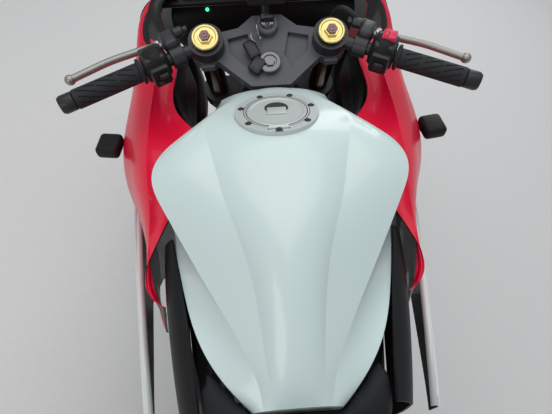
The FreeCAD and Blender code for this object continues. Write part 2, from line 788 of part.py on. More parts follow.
# Frame: cast beams either side of the engine, from the head tube to the swingarm's pivot plates.
def beam(rows, chamfer=8):
    """A bar lofted through upright sections: each row is x, inside, outside, bottom, top."""
    sections = []
    for x, inner, outer, low, high in rows:
        corners = [
            (inner, low + chamfer),
            (inner + chamfer / 2, low),
            (outer - chamfer, low),
            (outer, low + chamfer),
            (outer, high - chamfer),
            (outer - chamfer, high),
            (inner + chamfer / 2, high),
            (inner, high - chamfer),
        ]
        sections.append(Part.makePolygon([Vector(x, y, z) for y, z in corners + corners[:1]]))
    return Part.makeLoft(sections, True, True)


plate_in, plate_out = float(s.plate_inner), float(s.plate_inner + s.plate_wide)
pivot_x, pivot_z = float(s.swing_pivot_x), float(s.swing_pivot_z)
head_base = s.lower_yoke_at + s.lower_yoke_deep + 5
head_long = s.top_yoke_at - 5 - head_base
HEAD = (FORK * STEM).multVec(point(0, 0, head_base + head_long / 2))
SPAR = (  # x, inside, outside, bottom, top
    (HEAD.x + 13, 4, 30, HEAD.z - 41, HEAD.z + 32),
    (HEAD.x - 37, 26, 60, HEAD.z - 61, HEAD.z + 32),
    (300, 88, 122, 735, 846),
    (180, 128, 160, 680, 780),
    (20, 138, 168, 590, 700),
    (-105, 130, 160, 480, 640),
    (pivot_x + 30, plate_in, plate_out, pivot_z - 60, 600),
    (pivot_x - 40, plate_in, plate_out, pivot_z - 70, pivot_z + 90),
)
spar = free_form("spar", beam(SPAR))
head_tube = cylinder("head_tube", s.head_tube_r, head_long, FORK * STEM * place(0, 0, head_base))
cross_tube = cylinder("cross_tube", 18, plate_in * 2 + 10, place(-130, -plate_in - 5, 585, TO_LEFT))
head_bore = cylinder("head_bore", s.stem_r + s.turning_gap, 300, FORK * STEM * place(0, 0, head_base - 50))
frame_solid = fuse("frame_solid", [spar, mirrored("spar_right", spar), head_tube, cross_tube])
part("main_frame", cut("frame_bored", frame_solid, head_bore))

subframe_run = [(-104, 117.6, 622), (-300, 108, 718.5), (-560, 84, 792.5), (-880, 53.4, 877.2)]
subframe_rail = free_form("subframe_rail", tube(subframe_run, 12))
subframe_cross = [cylinder(f"subframe_cross_{x}", 10, 2 * y, place(x, -y, z, TO_LEFT)) for x, y, z in ((-320, 106, 720), (-850, 56, 870))]
part("subframe", fuse("subframe_all", [subframe_rail, mirrored("subframe_rail_right", subframe_rail), *subframe_cross]))

# Engine: crankcase, forward-leaning cylinders, and the round covers on both ends of the crank.
engine_body = new_body("engine_castings")
crankcase = [(-66, 225), (-30, 200), (150, 192), (215, 240), (225, 420), (150, 458), (-66, 450)]
gearbox = [(-128, 260), (-90, 215), (0, 205), (0, 440), (-100, 450), (-128, 400)]
cylinders = [(60, 440), (222, 415), (300, 560), (290, 650), (170, 700), (110, 600)]
pad(engine_body, sketch(engine_body, "crankcase", "XZ_Plane", crankcase), 316)
pad(engine_body, sketch(engine_body, "gearbox", "XZ_Plane", gearbox), 184)
pad(engine_body, sketch(engine_body, "cylinders", "XZ_Plane", cylinders), 236)
COVERS = (  # name, x, z, radius, side, reach
    ("clutch_cover", 0, 330, 84, -1, 192),
    ("alternator_cover", 150, 325, 66, 1, 190),
    ("pickup_cover", 160, 325, 48, -1, 178),
)
covers = []
for name, x, z, radius, side, reach in COVERS:
    start = 150 if side > 0 else -reach
    covers.append(cylinder(name, radius, reach - 150, place(x, start, z, TO_LEFT)))
sprocket_shaft = cylinder("sprocket_shaft", 14, 60, place(s.front_sprocket_x, 60, s.front_sprocket_z, TO_LEFT))
gear_sprocket = cylinder(
    "gear_sprocket",
    s.front_sprocket_r - s.chain_deep / 2 - s.turning_gap,
    s.sprocket_wide,
    place(s.front_sprocket_x, sprocket_face, s.front_sprocket_z, TO_LEFT),
)

radiator_body = new_body("radiator_core")
radiator_rows = [(362, 430), (392, 430), (422, 700), (392, 700)]
pad(radiator_body, sketch(radiator_body, "radiator_side", "XZ_Plane", radiator_rows), 330)
radiator_ear = box("radiator_ear", 12, 26, 79.8, place(398, 32, 698))
part("radiator", fuse("radiator_hung", [radiator_body, radiator_ear, mirrored("radiator_ear_right", radiator_ear)]))

HEADER_Y = (-96, -34, 34, 96)
headers = []
for i, y in enumerate(HEADER_Y):
    run = [(294.5, y, 612), (345, y, 617.6), (334, y, 330), (285, y * 0.75, 195), (170, y * 0.62, 166)]
    headers.append(free_form(f"header_{i}", tube(run, 18)))


def duct(rows):
    """A hollow-looking casting lofted through rectangles: each row is x, middle y, half width, bottom, top."""
    sections = []
    for x, y, half, low, high in rows:
        corners = [(y - half, low), (y + half, low), (y + half, high), (y - half, high), (y - half, low)]
        sections.append(Part.makePolygon([Vector(x, v, w) for v, w in corners]))
    return Part.makeLoft(sections, True, True)


collector = free_form("collector", duct([(170.3, 0, 80, 148, 184), (60, -8, 27, 144, 188)]))
silencer_from, silencer_to = Vector(-322, -214, 327), Vector(-680, -236, 430)
silencer_way = silencer_to - silencer_from
SILENCER = Placement(silencer_from, Rotation(UP, silencer_way))
silencer_long = silencer_way.Length
joint_end = SILENCER.multVec(point(0, 0, -0.3))
link_run = [(59.7, -8, 166), (-40, -20, 166), (-150, -112, 205), tuple(SILENCER.multVec(point(0, 0, -78))), tuple(joint_end)]
link = free_form("link_pipe", tube(link_run, 22))
silencer_can = fuse(
    "silencer_can",
    [
        cone("silencer_mouth", 26, 54, 46, SILENCER),
        cylinder("silencer_body", 54, silencer_long - 76, SILENCER * place(0, 0, 46)),
        cone("silencer_tail", 54, 38, 30, SILENCER * place(0, 0, silencer_long - 30)),
    ],
)
silencer = cut("silencer_open", silencer_can, cylinder("silencer_outlet", 24, 60, SILENCER * place(0, 0, silencer_long - 50)))
part("exhaust_pipes", compound("exhaust_run", [*headers, collector, link]))
part("silencer", silencer)

# Swingarm: two legs either side of the wheel, a brace ahead of the tyre, and the pivot tube.
arm_in, arm_out = float(s.arm_inner), float(s.arm_inner + s.arm_wide)
axle_x, axle_z = REAR_AXLE.x, REAR_AXLE.z
ARM = (  # x, inside, outside, bottom, top
    (pivot_x - 47, arm_in, arm_out, pivot_z - 36, pivot_z + 36),
    (pivot_x - 215, arm_in, arm_out, 348, 420),
    (axle_x + 30, arm_in, arm_out, axle_z - 27, axle_z + 30),
    (axle_x - 44, arm_in, arm_out, axle_z - 24, axle_z + 24),
)
arm = free_form("arm", beam(ARM))
pivot_tube = cylinder("pivot_tube", 18, plate_in * 2 - 1, place(pivot_x, 0.5 - plate_in, pivot_z, TO_LEFT))
web = box("arm_web", 150, 180, 32, place(pivot_x - 150, -90, pivot_z - 16))
brace = box("arm_brace", 76, arm_in * 2 + 10, 66, place(-384, -arm_in - 5, 338))
arm_solid = fuse("arm_solid", [arm, mirrored("arm_right", arm), pivot_tube, web, brace])
arm_bore = cylinder("arm_bore", s.axle_r + s.seat_gap, arm_out * 2 + 20, REAR_WHEEL * place(0, -arm_out - 10, 0, TO_LEFT))
part("swingarm", cut("arm_bored", arm_solid, arm_bore))
rear_axle_half = s.arm_inner + s.arm_wide + s.axle_end
rear_axle = cut(
    "rear_axle_bored",
    cylinder("rear_axle_bar", s.axle_r, rear_axle_half * 2, REAR_WHEEL * place(0, -rear_axle_half, 0, TO_LEFT)),
    cylinder("rear_axle_hole", s.axle_bore_r, rear_axle_half * 2 + 2, REAR_WHEEL * place(0, -rear_axle_half - 1, 0, TO_LEFT)),
)
part("rear_axle", rear_axle)

shock_foot, shock_head = Vector(-262, 0, pivot_z + 16.3), Vector(-150, 0, 572)
shock_way = shock_head - shock_foot
SHOCK = Placement(shock_foot, Rotation(UP, shock_way))
shock = fuse(
    "shock_all",
    [
        cylinder("shock_rod", 9, shock_way.Length - 12, SHOCK * place(0, 0, 6.4)),
        cylinder("shock_spring", 30, shock_way.Length - 70, SHOCK * place(0, 0, 36)),
    ],
)
part("rear_shock", shock)

# Final drive: the chain's closed loop, tangent to both sprockets.
def chain_loop(inset):
    """The loop at an inset from the pitch line: two arcs joined by their outer tangents."""
    small, large = float(s.front_sprocket_r) + inset, float(s.rear_sprocket_r) + inset
    a = Vector(float(s.front_sprocket_x), 0, float(s.front_sprocket_z))
    b = Vector(axle_x, 0, axle_z)
    way = b - a
    lean_in = math.acos((small - large) / way.Length)
    heading = math.atan2(way.z, way.x)
    ray = lambda angle, radius, middle: middle + Vector(math.cos(angle), 0, math.sin(angle)) * radius
    up, down = heading + lean_in, heading - lean_in
    top_a, low_a = ray(up, small, a), ray(down, small, a)
    top_b, low_b = ray(up, large, b), ray(down, large, b)
    front = ray(heading + math.pi, small, a)
    back = ray(heading, large, b)
    edges = [
        Part.LineSegment(top_a, top_b).toShape(),
        Part.Arc(top_b, back, low_b).toShape(),
        Part.LineSegment(low_b, low_a).toShape(),
        Part.Arc(low_a, front, top_a).toShape(),
    ]
    return Part.Wire(edges)


half_chain = float(s.chain_deep) / 2
chain_face = Part.Face(chain_loop(half_chain)).cut(Part.Face(chain_loop(-half_chain)))
chain_solid = chain_face.extrude(Vector(0, float(s.chain_wide), 0))
chain_solid.translate(Vector(0, float(s.chain_y - s.chain_wide / 2), 0))
part("drive_chain", free_form("chain", chain_solid))

rear_caliper_left = caliper_over("rear_caliper", s.rear_disc_r, s.rear_disc_y, 68, 116, 42, -62)
rear_lug = box("rear_caliper_lug", 62, arm_in - s.seat_gap - 102, 96, place(28, 102, 8))
rear_lug_turned = compound("rear_lug_turned", [rear_lug])
rear_caliper = mirrored("rear_caliper_right", fuse("rear_caliper_left", [rear_caliper_left, rear_lug_turned]))
part("rear_caliper", rear_caliper, REAR_WHEEL)

# Fuel tank: a lofted form with a crease beside its crown, wings over the rider's knees, and a fuel space.
TANK = (  # x, then (y, z) from the top centre line: crown, crease, wing's edge, knee recess, bottom edge
    (330, (0, 914), (36, 910), (58, 901), (76, 888), (84, 877), (88, 868), (87, 865), (84, 862)),
    (285, (0, 951), (42, 948), (64, 944), (82, 935), (96, 912), (107, 885), (109, 872), (106, 858)),
    (213, (0, 978), (98, 968), (111, 964), (122, 954), (131, 915), (134, 870), (132, 840), (128, 803)),
    (150, (0, 991), (93, 974), (138, 966), (174, 949), (165, 905), (154, 850), (146, 810), (134, 771.4)),
    (90, (0, 985), (79, 962), (124, 949), (161, 932), (158, 892), (161, 850), (152, 815), (134, 775)),
    (20, (0, 966), (56, 940), (90, 920), (122, 900), (132, 871), (149, 847), (146, 815), (132, 780)),
    (-60, (0, 917), (40, 896), (57, 886), (76, 874), (98, 853), (125, 842), (124, 815), (116, 785)),
    (-105, (0, 884), (36, 869), (44, 864), (54, 857), (76, 845), (99, 836), (99, 815), (92, 788)),
    (-150, (0, 838), (28, 836), (37, 834), (44, 831), (51, 827), (57, 821), (58, 810), (56, 796)),
)
tank_skin = free_form("tank_skin", solid_through(TANK))
FILLER = Placement(point(s.filler_x, 0, s.filler_z), Rotation(Vector(0, 1, 0), float(s.filler_tilt)))
ring_deep, lid_deep, fuel_deep, ring_ledge = 16, 7, 52, 7
tank_cuts = compound(
    "tank_cuts",
    [
        cylinder("ring_seat", s.ring_r + s.seat_gap, 60, FILLER * place(0, 0, -ring_deep)),
        cylinder("fuel_space", s.ring_r - ring_ledge, fuel_deep + 1, FILLER * place(0, 0, -ring_deep - fuel_deep)),
    ],
)
part("fuel_tank", cut("tank_cut", tank_skin, tank_cuts))

# Filler: a ring set flush in the tank, a floor round the neck, and a lid on a pin at its rear.
hinge_x = -float(s.lid_r) - 2.5
pin_r = 2
ring = cut(
    "ring_open",
    cylinder("ring_disc", s.ring_r, ring_deep - s.seat_gap, FILLER * place(0, 0, -ring_deep + s.seat_gap)),
    compound(
        "ring_cuts",
        [
            cylinder("ring_well", s.lid_r + s.lid_gap, lid_deep + 2, FILLER * place(0, 0, -float(lid_deep) - 1)),
            cylinder("ring_neck", s.neck_r, 60, FILLER * place(0, 0, -50)),
            box("hinge_pocket", 12, 30, 14, FILLER * place(hinge_x - 6, -15, -8)),
        ],
    ),
)
hinge_pin = cylinder("hinge_pin", pin_r, 31, FILLER * place(hinge_x, -15.5, -1, TO_LEFT))
part("filler_ring", fuse("ring_and_pin", [ring, hinge_pin]))
lid = cut(
    "lid_bored",
    fuse(
        "lid_solid",
        [
            cylinder("lid_disc", s.lid_r, lid_deep, FILLER * place(0, 0, -lid_deep)),
            box("lid_knuckle", 9, 26, 4.5, FILLER * place(hinge_x - 1, -13, -5)),
            cylinder("lid_barrel", 4, 26, FILLER * place(hinge_x, -13, -1, TO_LEFT)),
        ],
    ),
    cylinder("lid_pin_hole", pin_r + s.turning_gap, 40, FILLER * place(hinge_x, -20, -1, TO_LEFT)),
)
part("filler_lid", lid)

# Seats: plain closed cushions on the tank's tail and the subframe.
RIDER_SEAT = (  # x, then (y, z) as the tank
    (-156, (0, 832), (30, 829), (50, 820), (62, 806), (66, 792), (60, 772)),
    (-240, (0, 806), (60, 804), (100, 796), (118, 782), (120, 768), (112, 752)),
    (-380, (0, 806), (78, 805), (122, 798), (138, 784), (138, 770), (128, 756)),
    (-470, (0, 838), (66, 836), (104, 828), (120, 814), (122, 800), (114, 784)),
)
PILLION_SEAT = (
    (-480, (0, 884), (60, 882), (88, 873), (98.8, 858), (98.8, 844), (92, 822)),
    (-620, (0, 913), (60, 911), (86, 902), (94.8, 887), (94.8, 873), (86, 855)),
    (-780, (0, 936), (40, 934), (58, 927), (66, 916), (66, 904), (60, 890)),
)
SEAT_HORN = (  # x, then inside and outside edges, each with its top
    (-98, 111, 113, 836, 838),
    (-125, 87, 122, 834, 836),
    (-150.3, 62, 121, 832, 828),
    (-169, 50, 118, 825, 819),
)


def horn(rows, low):
    """A cushion's forward horn, lofted through upright sections: each is x, inside, outside, their two tops."""
    sections = []
    for x, inner, outer, inner_top, outer_top in rows:
        crest = Vector(x, (inner + outer) / 2, (inner_top + outer_top) / 2 + (outer - inner) * 0.08)
        inside, outside = Vector(x, inner, inner_top), Vector(x, outer, outer_top)
        feet = [Vector(x, outer, low), Vector(x, inner, low)]
        edges = [Part.Arc(inside, crest, outside).toShape(), Part.LineSegment(outside, feet[0]).toShape()]
        edges += [Part.LineSegment(feet[0], feet[1]).toShape(), Part.LineSegment(feet[1], inside).toShape()]
        sections.append(Part.Wire(edges))
    return Part.makeLoft(sections, True, True)


seat_horn = free_form("seat_horn", horn(SEAT_HORN, 790))
cushion = free_form("rider_cushion", solid_through(RIDER_SEAT))
part("rider_seat", fuse("rider_seat_all", [cushion, seat_horn, mirrored("seat_horn_right", seat_horn)]))
part("pillion_seat", free_form("pillion_cushion", solid_through(PILLION_SEAT)))

# Bodywork panels: moulded skins through upright sections, each table's points from the top edge down.
SIDE_FAIRING = (  # x, then (y, z) outside points: inner edge, hollow, ridge, shoulder, outer edge, flank, foot
    (559.6, (176, 962), (196, 958), (214, 950), (236, 928), (250, 905), (265, 850), (266, 740)),
    (510, (188, 900), (206, 896), (226, 901), (247, 884), (262, 860), (286, 785), (276, 680)),
    (400, (184, 858), (202, 855), (219, 864), (247, 847), (272, 820), (298, 775), (293.4, 641)),
    (330, (158, 850), (190, 846), (221, 860), (246, 842), (269, 815), (294, 772), (297, 641)),
    (285, (124, 848), (172, 844), (220, 858), (240, 842), (260, 817), (282, 772), (294, 641)),
    (200, (146, 850), (180, 845), (213, 857), (228, 842), (241, 818), (253, 772), (258, 640)),
    (125, (176, 848), (190, 846), (203, 852), (212, 840), (219, 818), (228, 780), (239, 655)),
    (92, (190.5, 842), (197, 842), (204, 843), (208.5, 834), (213, 820), (219, 786), (234, 665)),
    (0, (182.6, 811), (184, 805), (185.1, 800), (186.4, 793), (188.4, 780), (196, 745), (206, 690)),
)
LOWER_FAIRING = (
    (430, (295, 643), (290, 560), (270, 470), (244, 390), (220, 320)),
    (285, (307, 643), (300, 520), (266, 380), (218, 250), (150, 165)),
    (120, (285, 641), (276, 500), (252, 360), (214, 230), (150, 150)),
    (-10, (264, 641), (256, 500), (238, 370), (206, 250), (150, 170)),
    (-140, (241, 641), (238, 560), (226, 470), (208, 380), (180, 300)),
)
ENGINE_WINDOW = ((-150, 596), (-40, 574), (110, 545), (205, 460), (215, 350), (150, 285), (34, 262), (8, 120), (-150, 120))
TAIL_PANEL = (
    (-170, (80, 818), (120, 808), (146, 782), (152, 750), (144, 716)),
    (-330, (142, 792), (158, 784), (166, 764), (164, 742), (154, 722)),
    (-480, (124, 840), (144, 830), (152, 805), (148, 778), (136, 756)),
    (-720, (88, 904), (106, 894), (114, 868), (108, 842), (94, 824)),
    (-1090, (14, 966), (28, 958), (34, 938), (28, 916), (14, 908)),
)
FRAME_COVER = (
    (90, (168, 850), (179, 835), (185, 800), (183, 755), (176, 710)),
    (30, (155, 850), (172, 835), (181, 800), (181, 745), (172.9, 690)),
    (-70, (135, 845), (153, 832), (168, 800), (172, 740), (167.2, 655)),
    (-150, (124, 832), (137, 822), (153, 792), (159, 740), (157, 650)),
)
INNER_PANEL = (
    (508, (187, 888.3), (178, 868), (170, 845), (164, 815), (160, 780)),
    (400, (183.1, 847.6), (174, 830), (168, 815), (164, 790), (160, 750)),
    (330, (157, 843.9), (155, 835), (153, 825), (152, 810), (150, 780)),
)
PANELS = (
    ("side_fairing", SIDE_FAIRING),
    ("lower_fairing", LOWER_FAIRING),
    ("tail_panel", TAIL_PANEL),
    ("frame_cover", FRAME_COVER),
    ("inner_panel", INNER_PANEL),
)
wall = float(s.panel_wall)
for name, table in PANELS:
    left = skin(table, wall)
    if name == "lower_fairing":
        window = Part.Face(Part.makePolygon([Vector(x, 0, z) for x, z in ENGINE_WINDOW + ENGINE_WINDOW[:1]]))
        left = left.cut(window.extrude(Vector(0, 400, 0)))
    part(f"left_{name}", free_form(f"{name}_left", left))
    part(f"right_{name}", free_form(f"{name}_right", flip(left)))

NOSE_FLANK = (
    (560, (176, 962), (214, 950), (250, 905), (260, 850), (252, 780)),
    (650, (172, 938), (200, 925), (224, 880), (228, 830), (216, 770)),
    (740, (160, 905), (184, 888), (196, 850), (194, 805), (180, 765)),
)
NOSE_CAP = (  # right half, from the lower edge to the centre line
    (740.3, (-180, 765), (-194, 805), (-196, 850), (-184, 888), (-160, 905), (-85, 925), (0, 932)),
    (810, (-135, 745), (-156, 785), (-158, 830), (-145, 865), (-115, 885), (-60, 902), (0, 907)),
    (865, (-66, 742), (-88, 772), (-94, 806), (-84, 834), (-62, 850), (-30, 858), (0, 860)),
    (890, (-26, 758), (-38, 776), (-42, 796), (-38, 816), (-27, 827), (-13, 832), (0, 833)),
)
flank = skin(NOSE_FLANK, wall)
cap = skin(NOSE_CAP, wall, mirror_over=True)
lens_block = Part.makePolygon([Vector(790, 36, 772), Vector(790, 150, 800), Vector(790, 146, 842), Vector(790, 52, 822), Vector(790, 36, 772)])
lens_prism = Part.Face(lens_block).extrude(Vector(140, -20, 0))
lens = cap.common(lens_prism)
for prism in (lens_prism, flip(lens_prism)):
    cap = cap.cut(prism)
part("nose_cowl", free_form("nose", Part.makeCompound([flank, flip(flank), cap])))
part("headlights", free_form("headlight_pair", Part.makeCompound([lens, flip(lens)])))
WINDSCREEN = (
    (745, (-152, 909.8), (-85, 930.4), (0, 937.8)),
    (650, (-166, 944.4), (-98, 1000.4), (0, 1022.4)),
    (560, (-168, 968.4), (-98, 1062), (0, 1090)),
    (490, (-128, 1040), (-78, 1108), (0, 1130)),
)
part("windscreen", free_form("screen", skin(WINDSCREEN, float(s.screen_wall), mirror_over=True)))

dash_body = new_body("dash")
dash_plan = [(464, 30), (500, 46), (520, 82), (560, 90), (560, -90), (520, -82), (500, -46), (464, -30)]
pad(dash_body, sketch(dash_body, "dash_plan", "XY_Plane", dash_plan), 44, middle=False)
dash_body.Placement = Placement(Vector(0, 0, 968), Rotation()) * Placement(Vector(480, 0, 20), Rotation(Vector(0, 1, 0), -14)) * place(-480, 0, 0)
nose_inside = 219.4
stay = free_form("fairing_stay", tube([(458.4, 0, 862), (520, 0, 884), (556, 0, 950), (552, 0, 1016)], 9))
stay_bar = cylinder("stay_bar", 8, 2 * nose_inside, place(600, -nose_inside, 915, TO_LEFT))
stay_link = free_form("stay_link", tube([(532, 0, 905), (566, 0, 912), (604, 0, 915)], 7))
part("instrument_panel", fuse("dash_on_stay", [dash_body, stay, stay_bar, stay_link]))

mirror_stalk = free_form("mirror_stalk", tube([(620, 207, 935.4), (624, 217, 957), (600, 272, 1005), (576, 326, 1070)], 8))
MIRROR_HEAD = ((560, 340, 1084, 78, 39), (582, 340, 1084, 74, 36), (602, 338, 1082, 44, 20))
mirror_head = free_form("mirror_head", pod(MIRROR_HEAD))
mirror = fuse("mirror", [mirror_stalk, mirror_head])
part("mirrors", both_sides("mirror_pair", mirror))

front_blinker = fuse(
    "front_blinker",
    [
        cylinder("front_blinker_stem", 9, 26.4, place(360, 302.4, 770, TO_LEFT)),
        box("front_blinker_lamp", 56, 40, 28, place(330, 318, 756)),
    ],
)
rear_blinker = fuse(
    "rear_blinker",
    [
        cylinder("rear_blinker_stem", 7, 65, place(-1006, 42.3, 774, TO_LEFT)),
        box("rear_blinker_lamp", 34, 58, 28, place(-1024, 104, 760)),
    ],
)
blinkers = compound("blinkers", [front_blinker, rear_blinker])
part("indicators", both_sides("indicator_pair", blinkers))

part("tail_light", free_form("tail_lens", duct([(-1090.3, 0, 33, 910, 964), (-1128, 0, 12, 926, 952)])))
plate_body = new_body("plate_holder")
holder = [(-835, 859.7), (-905, 859.7), (-985, 824), (-1040, 714), (-1068, 554), (-1056, 554), (-1026, 710)]
holder += [(-974, 814), (-900, 849), (-835, 852)]
pad(plate_body, sketch(plate_body, "holder_side", "XZ_Plane", holder), 84)
plate = box("blank_plate", 3, 190, 130, Placement(Vector(-1071, -95, 539), Rotation(Vector(0, 1, 0), 10)))
TAIL_COVER = (  # right half, from the edge to the centre line
    (-784, (-72, 912), (-38, 927), (0, 932)),
    (-940, (-38, 938), (-20, 946), (0, 949)),
    (-1084, (-11, 961), (-6, 963.5), (0, 964)),
)
tail_cover = skin(TAIL_COVER, float(s.screen_wall), mirror_over=True)
cross_top = 880.3
cover_post = Part.makeCylinder(8, 56, Vector(-850, 0, cross_top))
tail_cover_on_post = free_form("tail_cover", tail_cover.fuse(cover_post.common(block(-900, -800, -9, 9, cross_top, 937))))
holder_solid = fuse("plate_holder_all", [plate_body, plate])
part("rear_mudguard", compound("rear_mudguard_all", [holder_solid, tail_cover_on_post]))

# Footrests: a plate, rider's peg and pillion peg each side, and the two foot controls.
foot_plate = free_form(
    "foot_plate",
    Part.Face(Part.makePolygon([Vector(x, plate_out + 0.3, z) for x, z in ((-165, 470), (-204, 482), (-322, 616), (-350, 606), (-262, 440), (-262, 395), (-240, 335), (-195, 350), (-165, 470))])).extrude(Vector(0, 10, 0)),
)
rider_peg = cylinder("rider_peg", 11, 82, place(-225, plate_out + 8, 372, TO_LEFT))
pillion_peg = cylinder("pillion_peg", 9, 74, place(-338, plate_out + 8, 596, TO_LEFT))
foot_side = fuse("foot_side", [foot_plate, rider_peg, pillion_peg])
part("footrests", both_sides("footrest_pair", foot_side))
pedal_run = [(-212, plate_out + 10.6, 350), (-212, plate_out + 25, 350), (-100, plate_out + 30, 350)]
pedal_bar = free_form("pedal_bar", tube(pedal_run, 6))
pedal_toe = cylinder("pedal_toe", 8, 36, place(-95, 176, 350, TO_LEFT))
part("foot_levers", both_sides("foot_lever_pair", fuse("foot_lever", [pedal_bar, pedal_toe])))

perch_end = BAR.multVec(point(33, -20, lever_pivot_at - 2))
hose_start = FORK.inverse().multVec(Vector(perch_end.x, -perch_end.y, perch_end.z))
hose = [tuple(hose_start), (46, -128, 748), (44, -110, 690), (44, -112, 560), (42, -118, 430), (26, -146, 330)]
hose += [(-24, -156, 235), (-70, -146, 160), (-100, -128, 96), (-100, -98.4, 96)]
part("brake_hose", free_form("brake_hose_run", tube(hose, 4.5)), FORK)

# Parked: the bike leans about the ground line, and its round tyres lift and settle it.
crowns = [float(crown_radius(s.front_tyre_half, s.front_crown_drop)), float(crown_radius(s.rear_tyre_half, s.rear_crown_drop))]
front_lift, rear_lift = [crown * (1 - math.cos(math.radians(float(s.lean)))) for crown in crowns]
nose_down = math.degrees(math.asin((rear_lift - front_lift) / float(s.wheelbase)))
ROLL = Placement(Vector(), Rotation(Vector(1, 0, 0), -float(s.lean)))
NOSE_DOWN = Placement(Vector(), Rotation(Vector(0, 1, 0), nose_down))
parked = place(0, 0, (front_lift + rear_lift) / 2) * NOSE_DOWN * ROLL
ground = parked.inverse()

# Side stand: a leg on a tilted pivot by the crankcase, out and forward to its foot on the ground.
stand_pivot = point(s.stand_pivot_x, s.stand_pivot_y, s.stand_pivot_z)
foot_low = parked.multVec(point(s.stand_foot_x, s.stand_foot_y, 0))
foot_rise = parked.multVec(point(s.stand_foot_x, s.stand_foot_y, 1)).z - foot_low.z
foot_at = parked.multVec(point(s.stand_foot_x, s.stand_foot_y, -foot_low.z / foot_rise))
FOOT = ground * Placement(foot_at, Rotation())
ankle = FOOT.multVec(Vector(0, 0, 12))
stand_down = (ankle - stand_pivot).normalize()
stand_up = Vector(-1, 0.02, 0.06).normalize()
stand_axis = stand_down.cross(stand_up).normalize()
stand_sweep = math.degrees(stand_down.getAngle(stand_up))
PIVOT = Placement(stand_pivot, Rotation(UP, stand_axis))
LEG = Placement(stand_pivot, Rotation(UP, stand_down))
eye_r, eye_half, stand_pin_r = 15, 6, 6
stand = cut(
    "stand_bored",
    fuse(
        "stand_solid",
        [
            cylinder("stand_eye", eye_r, eye_half * 2, PIVOT * place(0, 0, -eye_half)),
            cylinder("stand_neck", eye_half, 40, LEG),
            cylinder("stand_leg", s.stand_r, (ankle - stand_pivot).Length - 26, LEG * place(0, 0, 26)),
            cylinder("stand_pad", 21, 10, FOOT),
        ],
    ),
    cylinder("stand_hole", stand_pin_r + s.turning_gap, 60, PIVOT * place(0, 0, -30)),
)
part("side_stand", stand)
stand_boss = cylinder("stand_boss", 13, 30, PIVOT * place(0, 0, -eye_half - 1 - 30))
stand_pin = cylinder("stand_pin", stand_pin_r, eye_half * 2 + 9, PIVOT * place(0, 0, -eye_half - 3))
stand_bolt = cylinder("stand_bolt", 10, 5, PIVOT * place(0, 0, eye_half + 1))
engine_lug = box("engine_lug", 84, 12, 70, place(-122, 117, 430))
engine_lugs = [engine_lug, mirrored("engine_lug_right", engine_lug)]
engine = fuse("engine_all", [engine_body, *engine_lugs, *covers, sprocket_shaft, gear_sprocket, stand_boss, stand_pin, stand_bolt])
part("engine", engine)

# The whole bike is parked, and its origin put on the ground under its middle.
doc.recompute()
for piece in PARTS.values():
    piece.Placement = parked * piece.Placement
doc.recompute()
bounds = FreeCAD.BoundBox()
for piece in PARTS.values():
    bounds.add(piece.Shape.optimalBoundingBox(False, False))
CENTRE = place(-bounds.Center.x, -bounds.Center.y, 0)
for piece in PARTS.values():
    piece.Placement = CENTRE * piece.Placement
doc.recompute()

for obj in doc.Objects:
    if "Invalid" in obj.State or "Error" in obj.State:
        raise RuntimeError(f"{obj.Label} failed to build: {obj.State}")
for label, piece in PARTS.items():
    if piece.Shape.isNull() or not piece.Shape.isValid() or not piece.Shape.Solids:
        raise RuntimeError(f"{label} has no valid solid")
os.makedirs("parts", exist_ok=True)
for label, piece in PARTS.items():
    piece.Shape.exportStep(f"parts/{label}.step")
print(len(PARTS), "pieces,", sum(len(piece.Shape.Solids) for piece in PARTS.values()), "solids")
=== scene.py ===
import bmesh
import bpy
import json
import math
from mathutils import Matrix, Vector
from mathutils.bvhtree import BVHTree


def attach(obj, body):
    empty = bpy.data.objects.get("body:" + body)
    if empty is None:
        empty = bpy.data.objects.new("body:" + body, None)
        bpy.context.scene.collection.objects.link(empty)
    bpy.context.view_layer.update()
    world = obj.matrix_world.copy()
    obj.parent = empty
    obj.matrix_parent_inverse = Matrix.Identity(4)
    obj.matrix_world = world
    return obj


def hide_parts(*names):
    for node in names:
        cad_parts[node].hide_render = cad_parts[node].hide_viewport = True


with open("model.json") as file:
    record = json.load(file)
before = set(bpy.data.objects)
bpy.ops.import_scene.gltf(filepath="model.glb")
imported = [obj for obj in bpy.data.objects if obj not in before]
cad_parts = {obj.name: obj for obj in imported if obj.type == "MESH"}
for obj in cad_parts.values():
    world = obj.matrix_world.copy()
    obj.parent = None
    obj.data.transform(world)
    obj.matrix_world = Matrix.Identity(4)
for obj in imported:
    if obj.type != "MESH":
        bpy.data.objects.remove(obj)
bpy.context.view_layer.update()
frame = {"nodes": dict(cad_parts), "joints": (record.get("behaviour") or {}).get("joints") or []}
nodes = frame["nodes"]
joint = {row["name"]: row for row in frame["joints"]}

# The parked bike: everything is laid out on the upright bike, in millimetres from the ground under the
# middle of its wheelbase, +X forward and +Y to its left. UPRIGHT leans it over as it rests on its stand.
WHEELBASE, FRONT_HUB_HIGH, REAR_HUB_HIGH = 1437.0, 300.0, 315.0
front_hub = Vector(joint["front_wheel_spin"]["pos_m"])
rear_hub = Vector(joint["rear_wheel_spin"]["pos_m"])
to_left = Vector(joint["rear_wheel_spin"]["axis"]).normalized()
along = (front_hub - rear_hub).normalized()
hub_drop = math.atan2(REAR_HUB_HIGH - FRONT_HUB_HIGH, WHEELBASE)
forward = Matrix.Rotation(-hub_drop, 3, to_left) @ along
upward = forward.cross(to_left)
UPRIGHT = Matrix((forward, to_left, upward)).transposed().to_4x4() @ Matrix.Scale(0.001, 4)
UPRIGHT.translation = rear_hub - UPRIGHT.to_3x3() @ Vector((-WHEELBASE / 2, 0, REAR_HUB_HIGH))

